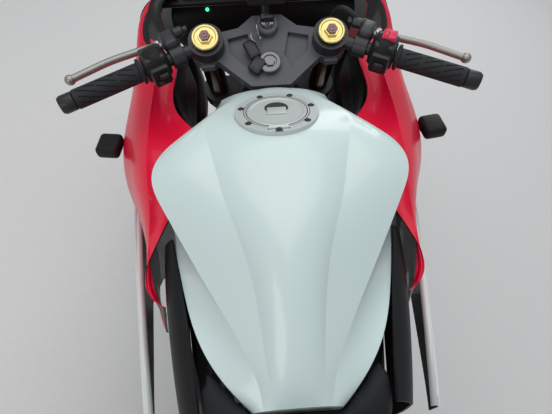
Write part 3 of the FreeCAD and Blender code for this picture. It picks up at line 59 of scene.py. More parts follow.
# The camera looks down over the seat, from where the rider's head is. It has the wide lens of a phone, turned
# a little off square, and its numbers were fitted to the photograph.
EYE = Vector((-217.8, 25.8, 1396.8))
PITCH, YAW, ROLL = math.radians(-57.10), math.radians(-2.91), math.radians(-1.29)
FOCAL_PIXELS, FRAME_PIXELS = 416.0, 552.0
gaze = Vector((math.cos(PITCH) * math.cos(YAW), math.cos(PITCH) * math.sin(YAW), math.sin(PITCH)))
level = gaze.cross(Vector((0, 0, 1))).normalized()
rise = level.cross(gaze)
camera_right = level * math.cos(ROLL) + rise * math.sin(ROLL)
camera_up = rise * math.cos(ROLL) - level * math.sin(ROLL)
camera_data = bpy.data.cameras.new("rider_view")
camera_data.sensor_fit = "HORIZONTAL"
camera_data.sensor_width = 36.0
camera_data.lens = 36.0 * FOCAL_PIXELS / FRAME_PIXELS
camera_data.clip_start = 0.01
camera = bpy.data.objects.new("rider_view", camera_data)
turn = UPRIGHT.to_3x3().normalized()
camera.matrix_world = (turn @ Matrix((camera_right, camera_up, -gaze)).transposed()).to_4x4()
camera.matrix_world.translation = UPRIGHT @ EYE
bpy.context.scene.collection.objects.link(camera)
bpy.context.scene.camera = camera


# The floor: one flat sheet, pale and faintly mottled like a studio's. Soft lamps hang overhead, in front and
# behind, and a pale sky is all round.
class Value:
    """A number that varies over a surface; arithmetic on it adds the maths nodes."""

    def __init__(self, finish, socket):
        self.finish, self.socket = finish, socket

    def maths(self, operation, *others):
        made = self.finish.node("ShaderNodeMath", {"operation": operation}, dict(enumerate((self, *others))))
        return Value(self.finish, made.outputs[0])

    def __add__(self, other):
        return self.maths("ADD", other)

    def __sub__(self, other):
        return self.maths("SUBTRACT", other)

    def __mul__(self, other):
        return self.maths("MULTIPLY", other)

    def __rsub__(self, other):
        return self * -1 + other

    __radd__, __rmul__ = __add__, __mul__

    def band(self, low, high):
        """0 below low, 1 above high, and smooth between."""
        settings = {"interpolation_type": "SMOOTHSTEP"}
        values = {"Value": self, "From Min": low, "From Max": high}
        return Value(self.finish, self.finish.node("ShaderNodeMapRange", settings, values).outputs[0])


class Finish:
    """One material: a principled surface whose sockets take numbers, colours or Values."""

    def __init__(self, name, colour, roughness, **sockets):
        self.material = bpy.data.materials.new(name)
        self.material.use_nodes = True
        self.tree = self.material.node_tree
        self.tree.nodes.clear()
        self.surface = self.node("ShaderNodeBsdfPrincipled")
        self.node("ShaderNodeOutputMaterial", {}, {"Surface": self.surface.outputs[0]})
        self.set(**{"Base Color": (*colour, 1), "Roughness": roughness})
        for key, value in sockets.items():
            self.set(**{key.replace("_", " ").title().replace("Ior", "IOR"): value})
        self.place = self.node("ShaderNodeTexCoord").outputs["Object"]

    def node(self, kind, settings=(), values=()):
        made = self.tree.nodes.new(kind)
        for key, value in dict(settings).items():
            setattr(made, key, value)
        for key, value in dict(values).items():
            self.feed(made.inputs[key], value)
        return made

    def feed(self, socket, value):
        """Another node's output is linked to the socket, and a plain value is set on it."""
        value = getattr(value, "socket", value)
        if isinstance(value, bpy.types.NodeSocket):
            self.tree.links.new(value, socket)
        else:
            socket.default_value = value

    def set(self, **values):
        for key, value in values.items():
            self.feed(self.surface.inputs[key], value)
        return self

    def paint(self, first, second, share):
        """The base colour: one colour or the other, by share."""
        return self.set(**{"Base Color": self.mix(first, second, share)})

    def speckle(self, scale, detail=2.0, rough=0.5, stretch=None):
        """Cloudy noise, as a Value about 0.5: scale is in clouds a metre."""
        place = self.place
        if stretch:
            place = self.node("ShaderNodeMapping", {}, {"Vector": place, "Scale": stretch}).outputs[0]
        values = {"Vector": place, "Scale": scale, "Detail": detail, "Roughness": rough}
        return Value(self, self.node("ShaderNodeTexNoise", {}, values).outputs[0])

    def mix(self, first, second, share):
        """One colour or the other, by share."""
        values = {"Factor": share, 6: self.four(first), 7: self.four(second)}
        return self.node("ShaderNodeMix", {"data_type": "RGBA"}, values).outputs[2]

    def four(self, colour):
        return (*colour, 1) if isinstance(colour, tuple) and len(colour) == 3 else colour

    def bump(self, height, strength, deep):
        """Relief: deep is in millimetres."""
        values = {"Height": height, "Strength": strength, "Distance": deep / 1000}
        self.set(Normal=self.node("ShaderNodeBump", {}, values).outputs[0])
        return self


FLOOR_REACH = 14  # metres each way from the middle
floor_mesh = bmesh.new()
bmesh.ops.create_grid(floor_mesh, x_segments=2, y_segments=2, size=FLOOR_REACH)
floor_data = bpy.data.meshes.new("studio_floor")
floor_mesh.to_mesh(floor_data)
floor = bpy.data.objects.new("studio_floor", floor_data)
bpy.context.scene.collection.objects.link(floor)
floor_finish = Finish("studio_floor", (0.74, 0.735, 0.725), 0.72)
mottle = floor_finish.speckle(55, 6, 0.65)
floor_finish.paint((0.70, 0.695, 0.685), (0.77, 0.765, 0.755), mottle)
floor_finish.bump(floor_finish.speckle(420, 3), 0.25, 1.0)
floor_data.materials.append(floor_finish.material)

world = bpy.data.worlds.new("studio_sky")
bpy.context.scene.world = world
world.use_nodes = True
sky = world.node_tree.nodes["Background"]
sky.inputs["Color"].default_value = (0.86, 0.90, 0.95, 1)
sky.inputs["Strength"].default_value = 0.43

LAMPS_AIM = Vector((0, 0, 0.6))
LAMPS = (  # name, place in metres, size in metres, watts, tint
    ("overhead_softbox", (0.5, 0.4, 3.4), 3.6, 50, (1.0, 0.99, 0.97)),
    ("front_softbox", (3.4, -1.6, 2.4), 1.8, 30, (0.95, 0.98, 1.0)),
    ("rear_softbox", (-3.2, 2.4, 2.2), 1.8, 24, (1.0, 0.98, 0.95)),
)
for name, spot, size, watts, tint in LAMPS:
    lamp_data = bpy.data.lights.new(name, "AREA")
    lamp_data.size, lamp_data.energy, lamp_data.color = size, watts, tint
    lamp = bpy.data.objects.new(name, lamp_data)
    lamp.location = spot
    lamp.rotation_euler = (LAMPS_AIM - Vector(spot)).to_track_quat("-Z", "Y").to_euler()
    bpy.context.scene.collection.objects.link(lamp)

bpy.context.scene.view_settings.view_transform = "Standard"


# Frame and swinging arm: cast aluminium beams under a satin black powder coat that shows the casting's grain.
# The swinging arm turns on a through bolt, whose nuts stand in the pivot plates.
def wear(finish, *names):
    """A CAD node keeps its shape and takes this finish all over."""
    for name in names:
        data = nodes[name].data
        data.materials.clear()
        data.materials.append(finish.material)


def varied(name, colour, roughness, clouds, **sockets):
    """A finish whose roughness drifts. Clouds: how many a metre, their detail, the swing, the least."""
    made = Finish(name, colour, roughness, **sockets)
    a_metre, detail, swing, least = clouds
    return made.set(Roughness=made.speckle(a_metre, detail) * swing + least)


def cast_black(name, colour, roughness, grain=620, deep=0.12):
    """A satin black coat, through which the grain of the casting shows."""
    made = Finish(name, colour, roughness)
    cloud = made.speckle(grain, 3, 0.6)
    made.set(Roughness=cloud * 0.18 + (roughness - 0.09))
    return made.bump(cloud, 0.35, deep)


def at(x, y, z, *turns):
    """A place on the bike, then turns, each an axis letter and degrees."""
    place = Matrix.Translation((x, y, z))
    for axis, degrees in turns:
        place = place @ Matrix.Rotation(math.radians(degrees), 4, axis)
    return place


def drum(mesh, place, rows, steps=32):
    """A turned form: (radius, height) rows spun about the place's Z."""
    profile = [mesh.verts.new(place @ Vector((radius, 0, high))) for radius, high in rows]
    edges = [mesh.edges.new(pair) for pair in zip(profile, profile[1:])]
    about = {"cent": place.translation, "axis": place.to_3x3() @ Vector((0, 0, 1)), "angle": math.tau}
    bmesh.ops.spin(mesh, geom=profile + edges, **about, steps=steps, use_merge=True)


def prism(mesh, place, sides, radius, high, top=None, turn=0):
    """A bar of so many sides, from the place up along its Z."""
    shift = Matrix.Translation((0, 0, high / 2)) @ Matrix.Rotation(math.radians(turn), 4, "Z")
    ends = {"radius1": radius, "radius2": radius if top is None else top, "depth": high}
    return bmesh.ops.create_cone(mesh, cap_ends=True, segments=sides, **ends, matrix=place @ shift)["verts"]


def nut(mesh, place, radius, high):
    """A flanged hexagon nut."""
    flange = radius * 1.25
    drum(mesh, place, ((0, 0), (flange, 0), (flange, high * 0.2), (radius, high * 0.3), (0, high * 0.3)), 20)
    prism(mesh, place, 6, radius, high, radius * 0.94)


def finished(name, mesh, finish, body="chassis", pair=False, smooth=32, replaces=()):
    """The mesh, laid out in millimetres on the upright bike, becomes a piece that rides on a body."""
    if pair:
        whole = mesh.verts[:] + mesh.edges[:] + mesh.faces[:]
        bmesh.ops.mirror(mesh, geom=whole, merge_dist=0.0001, axis="Y")
    bmesh.ops.remove_doubles(mesh, verts=mesh.verts, dist=0.01)
    bmesh.ops.recalc_face_normals(mesh, faces=mesh.faces)
    mesh.transform(UPRIGHT)
    data = bpy.data.meshes.new(name)
    mesh.to_mesh(data)
    mesh.free()
    data.materials.append(finish.material)
    data.shade_smooth()
    data.set_sharp_from_angle(angle=math.radians(smooth))
    made = bpy.data.objects.new(name, data)
    bpy.context.scene.collection.objects.link(made)
    if replaces:
        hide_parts(*replaces)
    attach(made, body)
    return made


frame_black = cast_black("frame_alloy", (0.026, 0.026, 0.029), 0.42)
wear(frame_black, "main_frame", "subframe", "swingarm")
black_metal = cast_black("black_metal", (0.022, 0.022, 0.025), 0.40, 900, 0.06)
wear(black_metal, "radiator", "rear_caliper", "side_stand", "lower_yoke", "clip_ons", "front_calipers")
bright_steel = varied("bright_steel", (0.42, 0.42, 0.43), 0.30, (900, 3, 0.2, 0.2), metallic=1.0)
PLATE_FACE = 156.2
PLATE_NUTS = ((-185, 400, 15, 12), (-130, 585, 9, 9))  # x, z, radius, high: arm pivot, engine bolt
pivot_nuts = bmesh.new()
for x, z, radius, high in PLATE_NUTS:
    nut(pivot_nuts, at(x, PLATE_FACE, z, ("X", -90)), radius, high)
finished("pivot_nuts", pivot_nuts, bright_steel, pair=True)


# Engine: sand-cast cases with a dark grey heat-proof coat, machined where the covers bolt on.
# Each cover is held by cap screws round its rim, and the cylinders carry cooling webs.
def meshes(count):
    """So many empty meshes, to lay pieces out in."""
    return [bmesh.new() for _ in range(count)]


def ring_of(place, count, radius, start=0, axis="Z"):
    """So many places round one of the place's axes, each that far out along X."""
    angles = [start + step * 360 / count for step in range(count)]
    return [place @ at(0, 0, 0, (axis, angle)) @ at(radius, 0, 0) for angle in angles]


def block(mesh, place, long, wide, high, round_by=1.5, segments=2):
    """A block with rounded edges, centred on the place."""
    scale = Matrix.Diagonal((long, wide, high, 1))
    made = bmesh.ops.create_cube(mesh, size=1, matrix=place @ scale)
    edges = list({edge for vert in made["verts"] for edge in vert.link_edges})
    rounding = {"affect": "EDGES", "profile": 0.5, "material": -1, "clamp_overlap": True}
    bmesh.ops.bevel(mesh, geom=edges, offset=round_by, segments=segments, **rounding)


def socket_bolt(mesh, place, radius, high):
    """A cap screw: a chamfered head with a six-sided hole in its top."""
    hole = radius * 0.52
    drum(mesh, place, ((0, 0), (radius, 0), (radius, high * 0.8), (radius * 0.86, high), (hole, high)), 12)
    drum(mesh, place, ((hole, high), (hole * 0.95, high * 0.35), (0, high * 0.35)), 6)


engine_grey = Finish("engine_grey", (0.085, 0.085, 0.092), 0.55, metallic=0.4)
casting = engine_grey.speckle(480, 5, 0.7)
engine_grey.paint((0.060, 0.061, 0.067), (0.11, 0.11, 0.12), casting)
engine_grey.bump(casting, 0.5, 0.3)
wear(engine_grey, "engine")
COVERS = (  # x, z, radius, side, outer face
    (0, 330, 84, -1, 192),
    (150, 325, 66, 1, 190),
    (160, 325, 48, -1, 178),
)
COVER_SCREWS, WEBS = 7, 7
case_covers, case_screws = meshes(2)
for x, z, radius, side, face in COVERS:
    place = at(x, side * face, z, ("X", -90 * side))
    dish = ((radius - 2, -22), (radius - 1, -1), (radius - 7, 4), (radius * 0.66, 4), (radius * 0.6, 9))
    drum(case_covers, place, (*dish, (radius * 0.3, 10.5), (radius * 0.26, 8), (0, 8)), 48)
    for spot in ring_of(place @ at(0, 0, 3.6), COVER_SCREWS, radius - 12):
        socket_bolt(case_screws, spot, 5.5, 5)
for web in range(WEBS):
    for side in (1, -1):
        block(case_covers, at(225 - 3.65 * web, side * 119, 585 - 24 * web, ("Y", 12)), 150, 7, 5, 1)
finished("case_covers", case_covers, engine_grey)
finished("case_screws", case_screws, bright_steel)

# Radiator: a black aluminium core of fine fins between two side tanks, behind the front wheel.
# Its filler cap stands on the right tank.
radiator_fins, radiator_tanks = meshes(2)
CORE = at(407, 0, 565, ("Y", 6.3))
FINS, FIN_PITCH = 34, 6.8
for row in range(FINS):
    block(radiator_fins, CORE @ at(1.8, 0, -112 + row * FIN_PITCH), 5, 296, 2.2, 0.4, 1)
for side in (1, -1):
    block(radiator_tanks, CORE @ at(0, side * 156, 0), 26, 22, 262, 5)
    block(radiator_tanks, CORE @ at(0, 0, side * 130), 24, 320, 12, 3)
drum(radiator_tanks, CORE @ at(0, -156, 128), ((0, 0), (17, 0), (17, 16), (22, 17), (22, 24), (0, 26)), 20)
fin_alloy = varied("fin_alloy", (0.06, 0.06, 0.062), 0.5, (500, 2, 0.2, 0.4), metallic=0.6)
finished("radiator_fins", radiator_fins, fin_alloy)
finished("radiator_tanks", radiator_tanks, black_metal)


# Exhaust: brushed stainless pipes, straw to brown near the engine, into one silencer with a riveted band at
# each end and a dark carbon-fibre guard over its outer side.
def thicken(piece, wall, offset=0):
    """A sheet gets its wall, in millimetres."""
    solid = piece.modifiers.new("wall", "SOLIDIFY")
    solid.thickness, solid.offset = wall / 1000, offset


exhaust_steel = Finish("exhaust_steel", (0.42, 0.40, 0.38), 0.32, metallic=1.0)
brushed = exhaust_steel.speckle(260, 4, 0.7, stretch=(1, 9, 9))
stain = exhaust_steel.speckle(9, 2).band(0.42, 0.62)
exhaust_steel.paint((0.44, 0.42, 0.40), (0.36, 0.28, 0.20), stain)
exhaust_steel.set(Roughness=brushed * 0.22 + 0.22).bump(brushed, 0.25, 0.05)
wear(exhaust_steel, "exhaust_pipes", "silencer")
CAN_FROM, CAN_TO, CAN_RADIUS = Vector((-322, -214, 327)), Vector((-680, -236, 430)), 54
can_way = CAN_TO - CAN_FROM
CAN = Matrix.Translation(CAN_FROM) @ can_way.to_track_quat("Z", "X").to_matrix().to_4x4()
silencer_bands, silencer_guard, band_rivets = meshes(3)
BAND_RIVETS, GUARD_HALF_ARC = 12, 1.05
out, end = CAN_RADIUS + 1.6, can_way.length
for high in (47, end - 52):
    drum(silencer_bands, CAN @ at(0, 0, high), ((out - 3, 0), (out, 0.8), (out, 19.2), (out - 3, 20)), 48)
    for spot in ring_of(CAN @ at(0, 0, high + 10), BAND_RIVETS, out - 0.6):
        drum(band_rivets, spot @ at(0, 0, 0, ("Y", 90)), ((3.4, 0), (3, 1.3), (1.6, 2.2), (0, 2.4)), 10)
outlet = ((37, 0.2), (39, 2), (34, 4), (25, 3), (23.6, -1), (23.6, -40))
drum(silencer_bands, CAN @ at(0, 0, end), outlet, 40)
drum(silencer_guard, CAN, ((out + 4, 92), (out + 5, 94), (out + 5, 240), (out + 4, 242)), 48)
away = CAN.inverted() @ Vector((-500, -400, 400))
keep = math.atan2(away.y, away.x)
far = []
for vert in silencer_guard.verts:
    there = CAN.inverted() @ vert.co
    if abs(math.remainder(math.atan2(there.y, there.x) - keep, math.tau)) > GUARD_HALF_ARC:
        far.append(vert)
bmesh.ops.delete(silencer_guard, geom=far, context="VERTS")
finished("silencer_bands", silencer_bands, exhaust_steel)
finished("band_rivets", band_rivets, bright_steel)
carbon = Finish("carbon_cloth", (0.03, 0.03, 0.033), 0.32, coat_weight=0.8, coat_roughness=0.06)
twill = carbon.node("ShaderNodeTexChecker", {}, {"Vector": carbon.place, "Scale": 320.0}).outputs["Fac"]
carbon.paint((0.016, 0.016, 0.018), (0.055, 0.055, 0.060), twill)
guard = finished("silencer_guard", silencer_guard, carbon)
thicken(guard, 3, -1)

# Wheels: cast five-spoke rims in satin black, each with a rubber valve through its rim. A flanged nut at each
# end clamps the axle.
wheel_black = cast_black("wheel_black", (0.018, 0.018, 0.021), 0.34, 900, 0.05)
wear(wheel_black, "front_rim", "rear_rim")
FRONT_HUB, REAR_HUB = at(WHEELBASE / 2, 0, FRONT_HUB_HIGH), at(-WHEELBASE / 2, 0, REAR_HUB_HIGH)
bare_alloy = varied("bare_alloy", (0.50, 0.50, 0.51), 0.34, (700, 3, 0.2, 0.24), metallic=0.9)
wear(bare_alloy, "front_axle", "rear_axle", "foot_levers")
lever_alloy = varied("lever_alloy", (0.36, 0.35, 0.33), 0.36, (700, 3, 0.2, 0.28), metallic=0.8)
wear(lever_alloy, "levers")
RIM_WELL = 193
for name, hub, body in (("front_valve", FRONT_HUB, "front_wheel"), ("rear_valve", REAR_HUB, "rear_wheel")):
    valve = bmesh.new()
    stem = hub @ at(0, 12, 0, ("Y", 36)) @ at(0, 0, RIM_WELL, ("X", 180))
    drum(valve, stem, ((0, 0), (6.5, 0), (6.5, 7), (4.2, 11), (4, 26), (4.8, 27), (4.8, 35), (0, 36)), 16)
    finished(name, valve, wheel_black, body)
AXLE_NUTS = (("front_axle_nuts", FRONT_HUB, "steering", 135.2), ("rear_axle_nuts", REAR_HUB, "chassis", 157))
for name, hub, body, face in AXLE_NUTS:
    nuts = bmesh.new()
    rows = ((13, 0), (22, 0), (22, 3), (18.5, 4), (18.5, 9), (17.5, 10), (13, 10), (13, 0))
    drum(nuts, hub @ at(0, face, 0, ("X", -90)), rows, 6)
    finished(name, nuts, bright_steel, body, pair=True)

# Tyres: road rubber with a dull bloom, moulded with slanted rain grooves either side of a plain centre line.
# Each is turned whole from bead to bead, then its grooves are pressed in and twisted.
tyre_rubber = Finish("tyre_rubber", (0.022, 0.022, 0.024), 0.78)
scuff = tyre_rubber.speckle(90, 5, 0.7)
tyre_rubber.paint((0.018, 0.018, 0.020), (0.045, 0.044, 0.042), scuff.band(0.45, 0.75))
tyre_rubber.bump(tyre_rubber.speckle(900, 2), 0.3, 0.15)
TYRES = (  # name, hub, body, tread radius, half width, crown drop, half of the rim's seat, pattern's hand
    ("front", FRONT_HUB, "front_wheel", 300, 60, 45, 50, 1),
    ("rear", REAR_HUB, "rear_wheel", 315, 90, 53, 72, -1),
)
BEAD, TREAD_ROWS, TREAD_STEPS = 214, 18, 126
GROOVE_EVERY, GROOVE_DEEP, GROOVE_TWIST = 7, 4, 0.22
for name, hub, body, radius, half, drop, seat, hand in TYRES:
    crown = (half * half + drop * drop) / (2 * drop)
    spread = math.asin(half / crown)
    shoulder = radius - drop
    wall = ((BEAD + 0.5, seat - 0.4), (BEAD + 10.2, seat - 0.4), (BEAD + 15, seat + 3))
    wall += ((shoulder - 34, (half + seat) / 2 + 5), (shoulder - 16, half - 1.5))
    turns = [spread - 2 * spread * row / TREAD_ROWS for row in range(TREAD_ROWS + 1)]
    arc = [(radius - crown + crown * math.cos(turn), crown * math.sin(turn)) for turn in turns]
    rows = [*wall, *arc, *((r, -y) for r, y in reversed(wall))]
    tyre = bmesh.new()
    wheel = hub @ at(0, 0, 0, ("X", -90))
    drum(tyre, wheel, rows, TREAD_STEPS)
    bmesh.ops.remove_doubles(tyre, verts=tyre.verts, dist=0.01)
    bmesh.ops.recalc_face_normals(tyre, faces=tyre.faces)
    to_wheel = wheel.inverted()
    grooves = {}
    for face in tyre.faces:
        middle = to_wheel @ face.calc_center_median()
        if middle.xy.length < shoulder + 2:
            continue
        count = int((math.atan2(middle.y, middle.x) % math.tau) / (math.tau / TREAD_STEPS))
        side = 1 if middle.z > 0 else -1
        reach = abs(middle.z) / half
        phase = (count + (3 if side > 0 else 0)) % GROOVE_EVERY
        if (phase == 0 and 0.16 < reach < 0.62) or (phase == 4 and 0.5 < reach < 0.9):
            grooves.setdefault((side, count), []).append(face)
    for faces in grooves.values():
        bmesh.ops.inset_region(tyre, faces=faces, thickness=3.6, depth=0, use_even_offset=True)
        for vert in {vert for face in faces for vert in face.verts}:
            from_hub = (vert.co - hub.translation) * Vector((1, 0, 1))
            vert.co -= from_hub.normalized() * GROOVE_DEEP
    for vert in tyre.verts:
        there = to_wheel @ vert.co
        if there.xy.length > shoulder - 1:
            twist = hand * GROOVE_TWIST * (abs(there.z) / half) ** 1.2 * (half / 75)
            vert.co = wheel @ (Matrix.Rotation(twist, 3, "Z") @ there)
    finished(name + "_tread", tyre, tyre_rubber, body, replaces=(name + "_tyre",))


# Brake discs: floating rings of ground steel, drilled for cooling, riding on ten bobbins round a black
# cast carrier that bolts to the hub.
def soften(piece, levels):
    """Smooth subdivision, the same in every render."""
    soft = piece.modifiers.new("soft", "SUBSURF")
    soft.levels = soft.render_levels = levels


disc_steel = varied("disc_steel", (0.46, 0.46, 0.47), 0.28, (1400, 2, 0.2, 0.2), metallic=1.0)
DISCS = (  # name, hub, body, middles off the centre line, outer radius, inner radius, node
    ("front_disc_rings", FRONT_HUB, "front_wheel", (63.75, -63.75), 148, 112, "front_discs"),
    ("rear_disc_ring", REAR_HUB, "rear_wheel", (-94.25,), 120, 88, "rear_disc"),
)
DISC_WALL, DISC_ROWS, DISC_STEPS, BOBBINS, ARMS = 4.5, 5, 90, 10, 5
for name, hub, body, faces_at, outer, inner, node in DISCS:
    rings, carrier = meshes(2)
    for y in faces_at:
        place = hub @ at(0, y, 0, ("X", -90))
        flat = [(inner + (outer - inner) * row / DISC_ROWS, 0) for row in range(DISC_ROWS + 1)]
        drum(rings, place, flat, DISC_STEPS)
        for arm in ring_of(place, ARMS, (inner + 28) / 2, 180 / ARMS):
            block(carrier, arm, inner - 22, outer * 0.145, DISC_WALL + 1.5, 1.5, 1)
        for spot in ring_of(place @ at(0, 0, -4), BOBBINS, inner - 2):
            drum(carrier, spot, ((0, 0), (7.5, 0), (7.5, 8), (4.5, 8), (4, 7), (0, 7)), 16)
        for outside, inside, half_high, steps in ((inner - 1, inner - 12, 2, 60), (46, 22, 3, 36)):
            section = ((outside, -half_high), (outside, half_high), (inside, half_high), (inside, -half_high))
            drum(carrier, place, (*section, section[0]), steps)
    drilled = []
    for face in rings.faces:
        spot = face.calc_center_median() - hub.translation
        radial = int((math.hypot(spot.x, spot.z) - inner) / (outer - inner) * DISC_ROWS)
        around = int((math.atan2(spot.z, spot.x) % math.tau) / (math.tau / DISC_STEPS))
        if 1 <= radial <= 3 and (around + radial * 2) % 5 == 0:
            drilled.append(face)
    bmesh.ops.inset_individual(rings, faces=drilled, thickness=1.0, use_even_offset=True)
    bmesh.ops.delete(rings, geom=drilled, context="FACES")
    ring = finished(name, rings, disc_steel, body, replaces=(node,))
    thicken(ring, DISC_WALL)
    soften(ring, 1)
    finished(name + "_carrier", carrier, wheel_black, body)

# Final drive: a roller chain of oiled steel plates and rollers, laid link by link round its loop, and the
# sprocket's teeth and nuts at the rear hub.
chain_steel = Finish("chain_steel", (0.22, 0.21, 0.20), 0.42, metallic=0.9)
grime = chain_steel.speckle(160, 4, 0.6)
chain_steel.paint((0.08, 0.075, 0.07), (0.30, 0.29, 0.27), grime.band(0.35, 0.7))
wear(chain_steel, "rear_sprocket")
CHAIN_Y, FRONT_PITCH, REAR_PITCH = 108, 38, 104
gear, wheel_middle = Vector((-120, CHAIN_Y, 400)), Vector((-WHEELBASE / 2, CHAIN_Y, REAR_HUB_HIGH))
run = wheel_middle - gear
heading = math.atan2(run.z, run.x)
opening = math.acos((FRONT_PITCH - REAR_PITCH) / run.length)
straight = math.sqrt(run.length ** 2 - (REAR_PITCH - FRONT_PITCH) ** 2)
rear_wrap, front_wrap = 2 * opening, 2 * (math.pi - opening)
loop_long = 2 * straight + REAR_PITCH * rear_wrap + FRONT_PITCH * front_wrap
CHAIN_PITCH, TEETH, SPROCKET_NUTS = 15.875, 41, 5
LINKS = 2 * round(loop_long / CHAIN_PITCH / 2)


def polar(angle):
    return Vector((math.cos(angle), 0, math.sin(angle)))


def on_loop(distance):
    """Where the chain is, that far round its loop, and the way it runs there."""
    up, low = heading + opening, heading - opening
    start, way = gear + polar(up) * FRONT_PITCH, polar(up - math.pi / 2)
    if distance < straight:
        return start + way * distance, way
    distance -= straight
    if distance < REAR_PITCH * rear_wrap:
        angle = up - distance / REAR_PITCH
        return wheel_middle + polar(angle) * REAR_PITCH, polar(angle - math.pi / 2)
    distance -= REAR_PITCH * rear_wrap
    if distance < straight:
        way = polar(low - math.pi / 2)
        return wheel_middle + polar(low) * REAR_PITCH + way * distance, way
    angle = low - (distance - straight) / FRONT_PITCH
    return gear + polar(angle) * FRONT_PITCH, polar(angle - math.pi / 2)


PLATE_ROUND, PLATE_WALL, PLATE_STRETCH, ROLLER_RADIUS, ROLLER_LONG = 6.6, 1.8, 6.2, 4.6, 14.8
chain = bmesh.new()
for count in range(LINKS):
    spot, way = on_loop((count + 0.5) * loop_long / LINKS)
    place = Matrix.Translation(spot) @ at(0, 0, 0, ("Y", math.degrees(math.atan2(-way.z, way.x))))
    half_gap = 6.4 if count % 2 else 4.2
    for side in (1, -1):
        flat = place @ at(0, side * half_gap - PLATE_WALL / 2, 0, ("X", -90))
        for vert in prism(chain, flat, 8, PLATE_ROUND, PLATE_WALL, turn=22.5):
            there = place.inverted() @ vert.co
            there.x += math.copysign(PLATE_STRETCH, there.x)
            vert.co = place @ there
    prism(chain, place @ at(-7.9, -ROLLER_LONG / 2, 0, ("X", -90)), 8, ROLLER_RADIUS, ROLLER_LONG)
finished("chain_links", chain, chain_steel, replaces=("drive_chain",))
teeth = bmesh.new()
for spot in ring_of(REAR_HUB @ at(0, CHAIN_Y, 0), TEETH, 94, axis="Y"):
    prism(teeth, spot @ at(0, 0, 0, ("Y", 90)), 4, 5.2, 6.2, 2.4, turn=45)
for spot in ring_of(REAR_HUB @ at(0, CHAIN_Y + 3.6, 0), SPROCKET_NUTS, 36, axis="Y"):
    nut(teeth, spot @ at(0, 0, 0, ("X", -90)), 7, 6)
finished("sprocket_teeth", teeth, chain_steel, "rear_wheel")


# Rear shock: a spring of yellow-gold coated wire, wound over a black damper that is bolted between the frame
# and the swinging arm.
def wind(mesh, place, radius, wire, steps, turns=1, rise=0):
    """Wire round the place's Z: a closed ring, or a coil that climbs by the rise."""
    start = place @ at(radius, 0, 0, ("X", 90))
    verts = bmesh.ops.create_circle(mesh, segments=8, radius=wire, matrix=start)["verts"]
    edges = list({edge for vert in verts for edge in vert.link_edges})
    axis = place.to_3x3() @ Vector((0, 0, 1))
    about = {"cent": place.translation, "axis": axis, "angle": math.tau * turns, "steps": steps}
    bmesh.ops.spin(mesh, geom=verts + edges, **about, dvec=axis * (rise / steps), use_merge=rise == 0)


SHOCK_FOOT, SHOCK_HEAD = Vector((-262, 0, 416.3)), Vector((-150, 0, 572))
shock_way = SHOCK_HEAD - SHOCK_FOOT
SHOCK = Matrix.Translation(SHOCK_FOOT) @ shock_way.to_track_quat("Z", "X").to_matrix().to_4x4()
spring, damper = meshes(2)
COILS, SPRING_FOOT, SPRING_SHORTER = 7, 44, 86
wind(spring, SHOCK @ at(0, 0, SPRING_FOOT), 25, 4.6, COILS * 20, COILS, shock_way.length - SPRING_SHORTER)
damper_rows = ((0, 4), (12, 4), (12, 30), (30, 31), (30, 38), (17, 39))
damper_rows += ((17, 150), (31, 151), (31, 160), (14, 161), (14, 178), (0, 178))
drum(damper, SHOCK, damper_rows, 28)
finished("shock_damper", damper, black_metal, replaces=("rear_shock",))
spring_gold = varied("spring_gold", (0.55, 0.36, 0.10), 0.35, (300, 2, 0.1, 0.3), metallic=0.4)
finished("shock_spring", spring, spring_gold)

# Fork: dark satin sliders below, tubes above whose dark brown is painted shade and a painted brown
# reflection, and gold anodised caps whose hexagons screw in the preload; the small centre screws set the
# damping. Two black forged yokes clamp the tubes.
RAKE = 25  # degrees
FORK = FRONT_HUB @ at(0, 0, 0, ("Y", -RAKE))
LEG_Y, STEM_X, YOKE_TOP, TUBE_TOP, CAP_NOTCHES = 107, -37.5, 702, 733, 24
fork_alloy = cast_black("fork_alloy", (0.12, 0.12, 0.125), 0.36, 900, 0.04)
wear(fork_alloy, "fork_sliders")
# The upper tubes' dark brown base colour is painted shade and a painted brown reflection, the look of the
# tubes in shadow.
stanchion_painted_shade = Finish("stanchion_painted_shade", (0.16, 0.12, 0.08), 0.20, metallic=1.0)
stanchion_painted_shade.set(Roughness=stanchion_painted_shade.speckle(500, 2, stretch=(9, 9, 1)) * 0.12 + 0.14)
cap_gold = varied("cap_gold", (0.80, 0.66, 0.28), 0.32, (900, 2, 0.12, 0.24), metallic=0.9)
cap_rose = varied("cap_rose", (0.22, 0.13, 0.14), 0.30, (900, 2, 0.12, 0.22), metallic=0.8)
tubes, caps, screws = meshes(3)
LEG = FORK @ at(0, LEG_Y, 0)
drum(tubes, LEG, ((0, 372.5), (20.5, 372.5), (20.5, TUBE_TOP), (0, TUBE_TOP)), 40)
rim = ((17, 0), (22, 0), (23, 1), (23, 3.4), (21.6, 4.8), (19, 5), (17.6, 3.4), (15.5, 3.2), (0, 3.2))
drum(caps, LEG @ at(0, 0, TUBE_TOP), rim, 48)
for notch in ring_of(LEG @ at(0, 0, TUBE_TOP + 2.2), CAP_NOTCHES, 22.8):
    block(caps, notch, 1.2, 2.4, 2.6, 0.4, 1)
prism(caps, LEG @ at(0, 0, TUBE_TOP + 3), 6, 13.5, 4.4, 12.6)
prism(screws, LEG @ at(0, 0, TUBE_TOP + 7.4), 6, 10, 3.4, 9.2)
drum(screws, LEG @ at(0, 0, TUBE_TOP + 8), ((5.4, 2), (5.4, 3.4), (4.6, 4), (2, 4), (1.8, 2.6), (0, 2.6)), 24)
finished("fork_stanchions", tubes, stanchion_painted_shade, "steering", pair=True,
         replaces=("fork_tubes",))
finished("fork_caps", caps, cap_gold, "steering", pair=True)
finished("damping_screws", screws, cap_rose, "steering", pair=True)
yoke_grey = cast_black("yoke_grey", (0.085, 0.090, 0.102), 0.44, 1100, 0.05)
wear(yoke_grey, "top_yoke")
